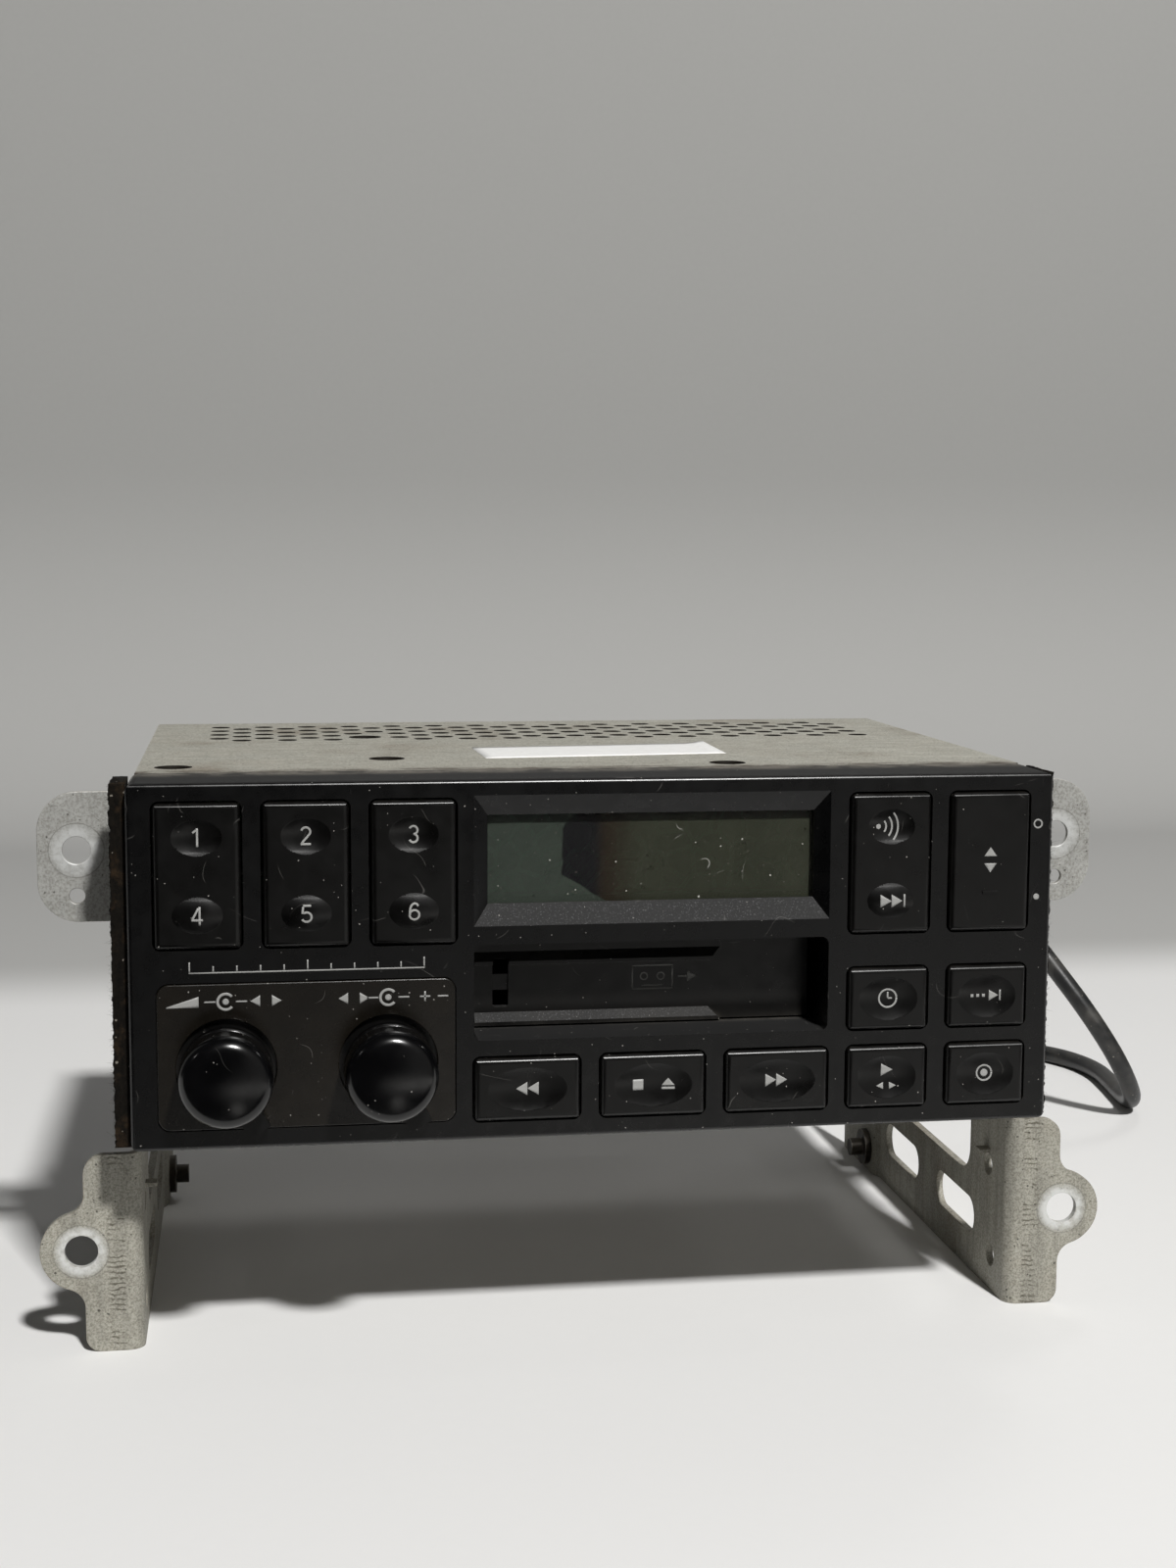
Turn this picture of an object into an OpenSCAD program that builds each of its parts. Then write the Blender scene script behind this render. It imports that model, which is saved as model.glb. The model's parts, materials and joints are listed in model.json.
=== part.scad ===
// Car cassette player: a radio and tape deck with its dash brackets, standing on the bracket edges.
// X runs across the face, Y runs from the face to the back, Z is up, millimetres.
// Modules draw in face coordinates: the middle of the face's front plane is zero.

/* [Face layout] */
// Margin from the side edge of the face to the outer keys
side_margin = 5; // [4:0.5:9]
// Margin from the top and bottom edges of the face to the keys
row_margin = 3.75; // [3.25:0.25:8]
// Margin above the display recess
recess_margin = 3.05; // [2.75:0.05:8]
// Width of a rocker and of a small key
rocker_w = 16.1; // [14:0.1:22]
// Height of a rocker
rocker_h = 27.5; // [25:0.5:36]
// Gap between neighbouring keys in a row
key_gap = 4.1; // [3.5:0.1:8]
// Gap between the preset rockers and the display
left_gap = 3.4; // [3:0.1:9]
// Gap between the display and the right-hand keys
right_gap = 4; // [3.4:0.1:9]
// Width of the display recess and of the cassette slot
deck_w = 69.8; // [69:0.2:84]
// Height of the display recess
recess_h = 25.2; // [22:0.2:34]
// Height of the bar between the display recess and the cassette slot
band_h = 3.6; // [3.2:0.1:7]
// Height of the cassette slot
slot_h = 18.7; // [18:0.1:24]
// Height of a push key
key_h = 12.3; // [10.5:0.1:16]
// Gap above a push key
key_row_gap = 3.4; // [3:0.1:7]
// Height of the knob plate
plate_h = 28.45; // [27:0.05:36]
// Height of the plain band under the preset rockers
legend_h = 6.55; // [5.5:0.05:10]

/* [Face moulding] */
// Thickness of the face
face_t = 2.4; // [2:0.1:3]
// Thickness of the skirt behind the face
skirt_t = 2; // [1.6:0.1:2.4]
// Depth from the face to the front of the chassis
skirt_d = 18; // [17:0.5:24]
// Corner radius of the face
corner_r = 2; // [1:0.25:3]
// Rounding of the front edges of the face
edge_r = 1; // [0.4:0.1:1.6]
// Thickness of the ribs and of the tunnel walls
rib_t = 1.2; // [1:0.1:1.5]
// Depth of the display recess
recess_d = 2.2; // [1.6:0.1:3]
// Width of the sloped side borders of the display recess
bevel_x = 2.85; // [1.5:0.05:5]
// Height of the sloped upper and lower borders of the display recess
bevel_z = 4; // [2:0.1:6]
// Thickness of the display lens
lens_t = 1.2; // [1:0.1:1.6]

/* [Keys] */
// Gap round a key in its window
key_play = 0.4; // [0.35:0.05:0.6]
// Height of the keys above the face
key_proud = 0.9; // [0.4:0.1:1.4]
// Travel of a push key
key_travel = 1.2; // [0.6:0.1:1.6]
// Tilt of a rocker to either side, in degrees
rocker_tilt = 3; // [1:0.5:3.5]
// Corner radius of a key
key_corner_r = 1.3; // [0.8:0.1:2]
// Rounding of the front edges of a key
key_edge_r = 1.1; // [0.4:0.1:1.2]
// Wall of a key
key_wall = 1.5; // [1.3:0.1:2]
// Width of the oval on a rocker
oval_w = 9.5; // [7:0.1:12]
// Height of an oval
oval_h = 7; // [5:0.1:8.5]
// Depth of a hollow oval and height of a raised one
oval_d = 0.7; // [0.3:0.05:0.9]
// Distance of the ovals from the middle of a rocker
oval_step = 7.3; // [6:0.1:9]
// Depth of the rocker pivot behind the face
pivot_y = 4.4; // [4:0.1:5]
// Radius of the rocker pivot pins
pivot_r = 1; // [0.7:0.05:1.3]
// Radial clearance of pins and shafts in their bores
running_gap = 0.06; // [0.03:0.01:0.1]
// Gap between flat faces that pass each other
slip_gap = 0.2; // [0.1:0.05:0.3]

/* [Cassette door] */
// Depth of the door behind the face
door_y = 12; // [10:0.5:13]
// Thickness of the door
door_t = 2; // [1.6:0.1:2.4]
// Gap between the door and the tunnel at each side
door_play = 1.2; // [0.6:0.1:2]
// Radius of the door's hinge pin
door_pin_r = 0.8; // [0.6:0.1:1]
// Height of the ribs on the door
door_rib_d = 1.2; // [0.6:0.1:1.6]
// Swing of the door, in degrees
door_swing = 82; // [60:1:84]

/* [Knobs] */
// Diameter of a knob
knob_d = 17.5; // [15:0.25:18.5]
// Reach of a knob in front of the face
knob_reach = 14; // [12:0.25:18]
// Rounding of a knob's front shoulder
knob_shoulder_r = 3.25; // [2:0.25:5.5]
// Distance between the two knobs
knob_pitch = 30.5; // [28:0.25:34]
// Distance of the knobs below the middle of their plate
knob_drop = 2.2; // [0:0.1:3]
// Thickness of the knob plate
plate_t = 1.2; // [0.8:0.1:1.4]
// Corner radius of the knob plate
plate_corner_r = 2.5; // [1:0.25:4]
// Diameter of the well round a knob
well_d = 18.8; // [18:0.1:21]
// Diameter of the disc of a lever ring
ring_d = 15; // [13:0.25:16]
// Reach of the tab on a lever ring from the knob's axis
ring_reach = 13.2; // [11:0.1:13.6]
// Thickness of a lever ring
ring_t = 1.8; // [1.2:0.1:2]
// Radius of a control shaft
shaft_r = 2; // [1.5:0.1:2.3]
// Radius of a lever ring's sleeve
sleeve_r = 3.5; // [3:0.1:3.8]
// Radius of a control's fixed bush
bush_r = 5; // [4.5:0.1:5.5]
// Travel of the tone knob when it is pulled
pull_travel = 2.5; // [1.5:0.1:2.6]

/* [Tape deck] */
// Length of a cassette
cassette_l = 100.4; // [100:0.2:110]
// Width of a cassette
cassette_w = 63.8; // [63.6:0.1:65]
// Greatest thickness of a cassette
cassette_t = 12; // [11.6:0.1:12.4]
// Distance between the reel axes
reel_pitch = 42.5; // [42:0.1:44]
// Fall of the carriage as a cassette is loaded
carriage_drop = 5; // [3:0.25:6]
// Stroke of the head plate
head_stroke = 7.9; // [5:0.1:8]
// Radius of a flywheel
flywheel_r = 18; // [14:0.5:19]
// Thickness of a flywheel
flywheel_t = 5; // [3:0.25:6]
// Radius of a capstan
capstan_r = 1; // [0.8:0.05:1.3]
// Radius of the motor pulley
pulley_r = 5; // [3:0.25:7]
// Radius of the motor
motor_r = 14; // [11:0.5:16]
// Height of the motor
motor_h = 20; // [16:0.5:24]

/* [Chassis] */
// Thickness of the chassis sheet
sheet_t = 1; // [0.8:0.1:1.3]
// Step from the face's edge in to the chassis side
chassis_step = 1; // [0.5:0.1:1.5]
// Step from the face's lower edge up to the chassis
chassis_lift = 2; // [0.5:0.25:3]
// Room behind a loaded cassette
bay_rear = 6.6; // [5:0.2:14]
// Diameter of the vent holes in the top cover
vent_d = 4.4; // [3:0.1:5.4]
// Distance between vent holes in a row
vent_pitch = 10.2; // [9:0.1:13]
// Distance between rows of vent holes
vent_row = 4.8; // [4.4:0.1:6]
// Number of rows of vent holes
vent_rows = 8; // [4:1:9]
// Diameter of the access holes in the top cover
access_d = 7.5; // [5:0.25:9]
// Thickness of the felt strips
felt_t = 3.4; // [2:0.1:5]
// Thickness of the right felt strip, which is pressed flat
felt_right_t = 1; // [0.6:0.1:5]
// Depth of the felt strips, front to back
felt_d = 13; // [8:0.5:14]
// Depth of the heat sink behind the chassis
sink_d = 9; // [5:0.5:10]
// Number of fins on the heat sink
sink_fins = 11; // [6:1:14]

/* [Brackets] */
// Height of the face's lower edge above the floor
bracket_drop = 45; // [38:0.5:60]
// Thickness of the lower brackets
bracket_t = 1.6; // [1.2:0.1:2]
// Inner bend radius of the lower brackets
bend_r = 1.5; // [1:0.1:2.5]
// Depth of the lower brackets' front post
post_d = 24; // [20:0.5:30]
// Height of the lower brackets' arm
arm_h = 21.5; // [18:0.5:26]
// Reach of the arm behind the chassis
arm_overhang = 10; // [10:0.5:20]
// Inward step near the rear end of the arm
joggle = 1.2; // [1:0.1:3]
// Length of the slots in the arm
arm_slot_l = 26.5; // [18:0.5:28]
// Height of the slots in the arm
arm_slot_h = 8; // [6:0.25:10]
// Distance between the slots in the arm
arm_slot_pitch = 40; // [36:0.5:44]
// Height of the front flange
flange_h = 40; // [34:0.5:43]
// Distance of the lower ear's hole from the chassis side
ear_x = 12; // [11:0.1:14]
// Height of the lower ear's hole above the floor
low_hole_z = 20.5; // [18:0.5:24]
// Radius of the lower ear
low_ear_r = 8; // [6:0.1:9]
// Diameter of the lower ear's hole
low_hole_d = 6.5; // [4:0.1:8]
// Thickness of the upper ears
ear_t = 1.2; // [1:0.1:1.6]
// Height of the upper ears
ear_h = 26; // [22:0.5:30]
// Width of the upper ears beyond the chassis side
ear_w = 19.6; // [18.5:0.1:22]
// Corner radius of the upper ears
ear_r = 8; // [4:0.25:10]
// Diameter of the large hole in the upper ears
ear_hole_d = 5.5; // [4:0.1:7]
// Diameter of the small hole in the upper ears
ear_pilot_d = 3.1; // [2:0.1:4]
// Distance between the two holes in an upper ear
ear_hole_pitch = 9.1; // [8:0.1:10]
// Radius of the side screws
screw_r = 2; // [1.5:0.1:2.5]

/* [Aerial lead] */
// Diameter of the aerial lead
lead_d = 5; // [4:0.1:5]
// Diameter of the socket on the end of the lead
plug_d = 9.5; // [8:0.1:9.5]
// Length of the socket on the end of the lead
plug_l = 38; // [30:0.5:50]

/* [Hidden] */
$fn = 48;
// Overrun of a cut past the face that it leaves through
cut = 1;

// Widths and heights that add up to the face
preset_group_w = 3 * rocker_w + 2 * key_gap;
right_group_w = 2 * rocker_w + key_gap;
face_w = 2 * side_margin + preset_group_w + left_gap + deck_w + right_gap + right_group_w;
centre_stack = row_margin + key_h + key_row_gap + slot_h + band_h + recess_h + recess_margin;
left_stack = 2 * row_margin + plate_h + legend_h + rocker_h;
right_stack = 2 * row_margin + 2 * key_h + key_row_gap + legend_h + rocker_h;
face_h = max(centre_stack, left_stack, right_stack);
top_z = face_h / 2;
bottom_z = -face_h / 2;
floor_z = bottom_z - bracket_drop;

// Places on the face
left_x = -face_w / 2 + side_margin;
column_step = rocker_w + key_gap;
preset_x = [for (i = [0:2]) left_x + rocker_w / 2 + i * column_step];
deck_x = left_x + preset_group_w + left_gap + deck_w / 2;
right_x = deck_x + deck_w / 2 + right_gap;
band_x = right_x + rocker_w / 2;
tune_x = band_x + column_step;
transport_w = (deck_w - 2 * key_gap) / 3;
transport_x = [for (i = [-1:1]) deck_x + i * (transport_w + key_gap)];
rocker_z = top_z - row_margin - rocker_h / 2;
key_z = bottom_z + row_margin + key_h / 2;
upper_key_z = key_z + key_h + key_row_gap;
plate_x = left_x + preset_group_w / 2;
plate_z = bottom_z + row_margin + plate_h / 2;
slot_z = bottom_z + row_margin + key_h + key_row_gap + slot_h / 2;
slot_top = slot_z + slot_h / 2;
slot_bottom = slot_z - slot_h / 2;
recess_z = top_z - recess_margin - recess_h / 2;
window_w = deck_w - 2 * bevel_x;
window_h = recess_h - 2 * bevel_z;
knob_x = [plate_x - knob_pitch / 2, plate_x + knob_pitch / 2];
knob_z = plate_z - knob_drop;

// Every key as [x, z, width]
push_keys = [
    [transport_x[0], key_z, transport_w],
    [transport_x[1], key_z, transport_w],
    [transport_x[2], key_z, transport_w],
    [band_x, key_z, rocker_w],
    [band_x, upper_key_z, rocker_w],
    [tune_x, upper_key_z, rocker_w],
    [tune_x, key_z, rocker_w]
];
rocker_x = concat(preset_x, [band_x, tune_x]);

// Depths behind the face
board_t = 1.6;
board_setback = 5;
board_y = skirt_d - board_setback;
board_back = board_y + board_t;
switch_w = 6;
switch_h = 3.5;
plunger_h = 1;
plunger_r = 1.75;
plunger_y = board_y - switch_h - plunger_h;
key_flange_t = 1;
key_flange_lap = 0.4;
key_stem_r = 2;
key_stem_end = plunger_y - key_travel - slip_gap;
rocker_post_end = plunger_y - oval_step * sin(rocker_tilt) - slip_gap;
rocker_back = pivot_y + 1.6;
pivot_ear_t = min(key_gap, left_gap, right_gap) / 2 - key_play;
pivot_ear_back = pivot_y + pivot_r + rib_t;
pivot_pin_l = key_play + pivot_ear_t - slip_gap;
recess_land = 0.4;
recess_back = max(recess_d, face_t) + recess_land;
lens_lap = 1.1;
module_lap = 2;
boss_r = 2;
boss_screw_r = 1;
legend_z = rocker_z - rocker_h / 2 - legend_h / 2;
boss_x = [left_x + boss_r, preset_x[2], right_x + boss_r, tune_x + rocker_w / 2 - boss_r];

// Tunnel and door
tunnel_w = deck_w + 2 * rib_t;
tunnel_back = door_y + door_t + 2;
door_w = deck_w - 2 * door_play;
hinge_r = door_pin_r + running_gap + 0.9;
hinge_z = slot_top - slip_gap - hinge_r;
hinge_y = door_y + hinge_r;
// The foot's rib clears the floor of the slot as it swings in
door_reach = hinge_z - slot_bottom - slip_gap;
rib_front = hinge_r + door_rib_d;
door_foot = hinge_z - sqrt(door_reach * door_reach - rib_front * rib_front);
door_pin_l = tunnel_w;
hinge_cheek_r = hinge_r + 0.6;
door_rib_h = 2.4;
door_rib_flat = 0.7;
door_rib_w = 47;
door_slit_w = 3.1;
door_slit_h = 9.8;
door_slit_x = deck_x - door_w / 2 + 5.2;
door_slit_z = slot_z - 0.5;

// Controls behind the knobs
knob_back = ring_t + 1.4 + 0.3;
ring_back = 1.4;
plate_proud = 0.2;
plate_gap = 0.25;
control_w = 21;
control_h = 19;
control_d = 14;
control_back = board_back + control_d;
sleeve_end = board_back + 4;
shaft_end = control_back - 4;
collar_r = shaft_r + 1;
collar_t = 0.6;
slider_t = 4;
slider_w = 9;
slider_gap = 0.15;
slider_y = control_back + pull_travel + collar_t + 2 * slip_gap + 0.3;
slider_rail_t = 1.2;
ring_tab_w = 4.6;
ring_tab_angle = -63;

// Chassis
chassis_w = face_w - 2 * chassis_step;
chassis_side = chassis_w / 2;
bay_front = 3;
chassis_d = bay_front + cassette_l + bay_rear;
rear_y = skirt_d + chassis_d;

// Deck levels and places
cassette_y = skirt_d + bay_front + cassette_l / 2;
carriage_floor = slot_bottom + slip_gap;
carriage_roof = carriage_floor + cassette_t + 2 * slip_gap;
deck_room = 1.4;
deck_top = carriage_floor - sheet_t - carriage_drop - deck_room;
deck_t = 1.2;
deck_bottom = deck_top - deck_t;
fly_gap = 0.4;
fly_hub_h = 1.6;
fly_top = deck_bottom - fly_gap - fly_hub_h;
fly_bottom = fly_top - flywheel_t;
chassis_bottom = min(bottom_z + chassis_lift, fly_bottom - fly_gap - sheet_t);
chassis_top = top_z;
pan_z = chassis_bottom + sheet_t;
hub_offset = 34.8;
tape_edge_x = deck_x + cassette_w / 2;
reel_x = tape_edge_x - hub_offset;
reel_y = [cassette_y - reel_pitch / 2, cassette_y + reel_pitch / 2];
capstan_step = 30;
capstan_x = tape_edge_x - 5.7;
capstan_y = [cassette_y - capstan_step, cassette_y + capstan_step];
capstan_top = carriage_floor - 1;
carriage_side = cassette_w / 2 + 0.5;
carriage_front = hinge_y + door_reach + 2.4;
carriage_back = cassette_y + cassette_l / 2;
guide_step = 17;
guide_y = [cassette_y - guide_step, cassette_y + guide_step];
guide_r = 1.5;
guide_z = carriage_floor + 6;
cheek_gap = 0.4;
cheek_x = carriage_side + sheet_t + cheek_gap;
cheek_w = 8;
cheek_top = guide_z + guide_r + 3;
lip_w = 4.7;
wall_piece = 12;
roller_r = 4;
roller_h = 8;
roller_pin_r = 1;
roller_x = capstan_x + capstan_r + roller_r + slip_gap + head_stroke;
head_t = 1;
head_z = deck_top + slip_gap;
head_front = roller_x - roller_r;
head_bar_x = deck_x + cheek_x + deck_t + head_stroke + slip_gap + 0.6;
head_bar_w = 16.5;
head_w = 14;
head_d = 9;
head_h = 12;
finger_w = 10;
stud_r = 1.5;
stud_x = head_bar_x + 4.5;
deck_front = carriage_front;
deck_back = rear_y - 6;
deck_left = deck_x - cheek_x - deck_t - 1;
deck_right = head_bar_x + head_bar_w + 2;
motor_x = deck_left - motor_r - 10;
motor_y = capstan_y[1] - 6;
motor_plate = motor_r + 3;
belt_t = 1;
belt_h = 3;
belt_z = fly_bottom + flywheel_t / 2;
belt_gap = 0.35;
leg_r = 3;
leg_x = [deck_left + leg_r + 1, deck_right - leg_r - 1];
leg_y = [deck_front + leg_r + 1, deck_back - leg_r - 1];

// Boards and back
main_t = 1.6;
main_z = slot_top + 4.9;
main_front = carriage_front + 2;
main_back = rear_y - sheet_t - 2;
main_w = chassis_w - 2 * sheet_t - 2;
ledge_w = 8;
ledge_reach = 4;
can_w = 52;
can_d = 40;
can_h = 15;
can_x = chassis_side - sheet_t - can_w / 2 - 6;
can_y = main_back - can_d / 2 - 8;
lip_h = 9;
lip_screw_x = chassis_side - 12;
small_screw_r = 1;
small_head_r = 2;
small_head_t = 1.2;
sink_w = 62;
sink_h = 30;
sink_base = 3;
sink_fin_t = 1.4;
sink_x = -chassis_side + sink_w / 2 + 10;
sink_z = main_z + sink_h / 2 - 18;
socket_w = 38;
socket_h = 13;
socket_d = 12;
socket_x = 26;
socket_z = main_z + main_t + socket_h / 2;
socket_wall = 1.4;
socket_pins = 7;
gland_x = chassis_side - 15;
gland_z = main_z + main_t + 2.4;
gland_r = 6;
gland_l = 8;

// Brackets and ears
flange_y = skirt_d - 0.7;
bend_out = bend_r + bracket_t;
bracket_x = chassis_side;
flange_edge = bracket_x + ear_x - 0.6;
flange_top = floor_z + flange_h;
arm_top = floor_z + arm_h;
arm_end = rear_y + arm_overhang;
joggle_y = rear_y - 19;
joggle_run = 3;
post_back = flange_y + post_d;
side_y = skirt_d + 3;
side_d = 58;
side_h = 22;
side_z = chassis_bottom + 3;
bracket_screw_y = [side_y + 10, side_y + side_d - 10];
bracket_screw_z = side_z + side_h / 2;
slot_y = flange_y + 33.7;
arm_slot_z = floor_z + 12.2;
upper_hole = [flange_y + 12.2, floor_z + 27];
lower_hole = [flange_y + 9.7, floor_z + 7.6];
side_hole_r = 2.4;
lance_y = flange_y + 11;
lance_d = 3;
lance_w = 2.4;
lance_t = 0.8;
stud_hole = [joggle_y + 8, floor_z + 6];
rivet_r = 1.5;
stud_flange_r = 4.5;
stud_flange_t = 1.6;
stud_tip_r = 2.2;
stud_tip_l = 3;
ear_y = skirt_d + 9;
ear_z = top_z - 17.4;
ear_leg_d = 24;
ear_screw_y = ear_y + 14;
ear_screw_z = [ear_z - 4, ear_z + 6];
screw_head_r = 3.6;
screw_head_t = 2.2;
screw_l = 4;
felt_y = 3;

// Aerial lead: steps right of and behind the gland's mouth, share of the fall, share of the rise
lead_steps = [
    [0, 0, 1, 0], [0, 11, 1, 0], [3, 22, 0.995, 0], [10, 31, 0.975, 0], [20, 36.5, 0.945, 0],
    [32, 38, 0.893, 0], [44, 37, 0.82, 0], [55, 34, 0.73, 0], [65, 30, 0.636, 0], [73, 25.5, 0.536, 0],
    [79, 21, 0.441, 0], [84.8, 17, 0.346, 0], [90.4, 14.4, 0.249, 0], [94.8, 13.8, 0.168, 0],
    [98.6, 15.4, 0.095, 0], [101.6, 19.4, 0.039, 0], [103.6, 26, 0.007, 0], [105, 34.5, 0, 0],
    [107, 47, 0, 0], [108.3, 59, 0, 0], [107.2, 70, 0, 0], [103.3, 80, 0, 0], [96.5, 88, 0, 0],
    [87, 92.5, 0, 0], [76, 94, 0, 0], [66, 93.6, 0, 0], [56, 92.8, 0, 0.15], [45, 92, 0, 0.6],
    [36, 92, 0, 1], [30, 92, 0, 1]
];
lay_z = floor_z + lead_d / 2;
lead_route = [
    for (p = lead_steps) [
        gland_x + p[0], rear_y + gland_l + p[1],
        lay_z + p[2] * (gland_z - lay_z) + p[3] * (plug_d - lead_d) / 2
    ]
];
lead_sides = 10;

// The row's frame: the floor under the brackets is zero, midway between knob front and arm end
mid_y = (arm_end - knob_reach) / 2;

module seated() {
    translate([0, -mid_y, -floor_z]) children();
}

// Draws a flat shape given in X and Z, from y0 back to y1
module along_y(y0, y1) {
    translate([0, y1, 0]) rotate([90, 0, 0]) linear_extrude(y1 - y0) children();
}

// Draws a flat shape given in Y and Z, from x0 to x1
module along_x(x0, x1) {
    translate([x0, 0, 0]) rotate([90, 0, 90]) linear_extrude(x1 - x0) children();
}

// Draws a flat shape given in X and Y, from z0 up to z1
module along_z(z0, z1) {
    translate([0, 0, z0]) linear_extrude(z1 - z0) children();
}

module block(low, high) {
    translate(low) cube(high - low);
}

module rod_x(r, x0, x1, y, z) {
    translate([x0, y, z]) rotate([0, 90, 0]) cylinder(r = r, h = x1 - x0);
}

module rod_y(r, y0, y1, x, z) {
    translate([x, y0, z]) rotate([-90, 0, 0]) cylinder(r = r, h = y1 - y0);
}

module rod_z(r, z0, z1, x, y) {
    translate([x, y, z0]) cylinder(r = r, h = z1 - z0);
}

module rounded_rect(w, h, r) {
    square([w - 2 * r, h], center = true);
    square([w, h - 2 * r], center = true);
    for (sx = [-1, 1], sz = [-1, 1])
        translate([sx * (w / 2 - r), sz * (h / 2 - r)]) circle(r = r);
}

module obround(l, h) {
    square([l - h, h], center = true);
    for (s = [-1, 1]) translate([s * (l - h) / 2, 0]) circle(r = h / 2);
}

// Section of a block of width w and depth d with both front corners rounded
module soft_section(w, d, r) {
    translate([-w / 2, r]) square([w, d - r]);
    translate([-w / 2 + r, 0]) square([w - 2 * r, d]);
    for (s = [-1, 1]) translate([s * (w / 2 - r), r]) circle(r = r);
}

// Block with rounded corners and rounded front edges: front at y = 0, middle at x = z = 0
module soft_block(w, h, d, corner, edge) {
    intersection() {
        along_y(0, d) rounded_rect(w, h, corner);
        along_z(-h, h) soft_section(w, d + cut, edge);
        along_x(-w, w) mirror([1, -1, 0]) soft_section(h, d + cut, edge);
    }
}

// Radius of an arc that rises d over a half chord a
function arc_r(a, d) = (a * a + d * d) / (2 * d);

// Barrel on the X axis whose crown has radius rx along and rz across
module barrel(rx, rz) {
    rotate([0, 90, 0]) rotate_extrude() intersection() {
        translate([rz - rx, 0]) circle(r = rx);
        translate([0, -rx]) square([rz + cut, 2 * rx]);
    }
}

// Barrel that cuts an oval hollow of size w by h into a face at depth y
module hollow_oval(w, h, y) {
    rz = arc_r(h / 2, oval_d);
    translate([0, y + oval_d - rz, 0]) barrel(arc_r(w / 2, oval_d), rz);
}

// Oval of size w by h that stands out of a face at depth y
module raised_oval(w, h, y) {
    rz = arc_r(h / 2, oval_d);
    intersection() {
        translate([0, y - oval_d + rz, 0]) barrel(arc_r(w / 2, oval_d), rz);
        block([-w, y - 2 * oval_d, -h], [w, y + key_wall / 2, h]);
    }
}

// Hollow key cap with its front at -key_proud and its open back at y
module key_shell(w, h, y) {
    difference() {
        translate([0, -key_proud, 0])
            soft_block(w, h, y + key_proud, key_corner_r, key_edge_r);
        along_y(key_wall - key_proud, y + cut)
            rounded_rect(w - 2 * key_wall, h - 2 * key_wall, key_corner_r / 2);
    }
}

module push_key(k, oval) {
    w = k[2];
    back = face_t + slip_gap + key_flange_t;
    rim = key_play + key_flange_lap;
    color("#24211f") seated() translate([k[0], 0, k[1]]) {
        difference() {
            key_shell(w, key_h, back);
            hollow_oval(oval, key_h - 3.6, -key_proud);
        }
        along_y(face_t + slip_gap, back) difference() {
            rounded_rect(w + 2 * rim, key_h + 2 * rim, key_corner_r);
            square([w - 2 * key_wall, key_h - 2 * key_wall], center = true);
        }
        rod_y(key_stem_r, key_wall - key_proud - 0.2, key_stem_end, 0, 0);
    }
}

module rocker_body(x) {
    translate([x, 0, rocker_z]) {
        key_shell(rocker_w, rocker_h, rocker_back);
        for (s = [-1, 1]) {
            rod_y(key_stem_r, key_wall - key_proud - 0.2, rocker_post_end, 0, s * oval_step);
            x0 = s > 0 ? rocker_w / 2 - key_wall / 2 : -rocker_w / 2 - pivot_pin_l;
            rod_x(pivot_r, x0, x0 + pivot_pin_l + key_wall / 2, pivot_y, 0);
        }
    }
}

// Rocker with a hollow oval above and a raised one below
module oval_rocker(x) {
    color("#211f1e") seated() {
        difference() {
            rocker_body(x);
            translate([x, 0, rocker_z + oval_step]) hollow_oval(oval_w, oval_h, -key_proud);
        }
        translate([x, 0, rocker_z - oval_step]) raised_oval(oval_w, oval_h, -key_proud);
    }
}

module preset_rocker_1() {
    oval_rocker(preset_x[0]);
}

module preset_rocker_2() {
    oval_rocker(preset_x[1]);
}

module preset_rocker_3() {
    oval_rocker(preset_x[2]);
}

module band_rocker() {
    oval_rocker(band_x);
}

module tune_rocker() {
    dash = [3, 0.5];
    color("#211f1e") seated() {
        rocker_body(tune_x);
        translate([tune_x, 0, rocker_z - oval_step + 1])
            block([-dash[0] / 2, -key_proud - 0.3, 0], [dash[0] / 2, -key_proud + 0.3, dash[1]]);
    }
}

module rewind_key() {
    push_key(push_keys[0], transport_w - 5);
}

module stop_key() {
    push_key(push_keys[1], transport_w - 5);
}

module forward_key() {
    push_key(push_keys[2], transport_w - 5);
}

module play_key() {
    push_key(push_keys[3], rocker_w - 4);
}

module clock_key() {
    push_key(push_keys[4], rocker_w - 4);
}

module scan_key() {
    push_key(push_keys[5], rocker_w - 4);
}

module memory_key() {
    push_key(push_keys[6], rocker_w - 4);
}

// Pocket whose four sides slope in from the face to the display window
module recess_pocket() {
    translate([deck_x, 0, recess_z]) {
        intersection() {
            along_z(-recess_h, recess_h) slope(deck_w, bevel_x);
            along_x(-deck_w, deck_w) mirror([1, -1, 0]) slope(recess_h, bevel_z);
        }
        along_y(recess_d - 0.1, recess_back + cut) square([window_w, window_h], center = true);
    }
}

// Section of a pocket of width w at y = 0 that narrows by b on each side
module slope(w, b) {
    lead = b / recess_d;
    polygon([
        [-w / 2 - lead, -1], [w / 2 + lead, -1],
        [w / 2 - b, recess_d], [-w / 2 + b, recess_d]
    ]);
}

// Ears on the back of the face that hold one rocker's pins
module pivot_ears(x) {
    ear_z_half = pivot_r + rib_t + 0.4;
    for (s = [-1, 1]) translate([x + s * (rocker_w / 2 + key_play + pivot_ear_t / 2), 0, rocker_z])
        block(
            [-pivot_ear_t / 2, face_t - 0.1, -ear_z_half],
            [pivot_ear_t / 2, pivot_ear_back, ear_z_half]
        );
}

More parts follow.
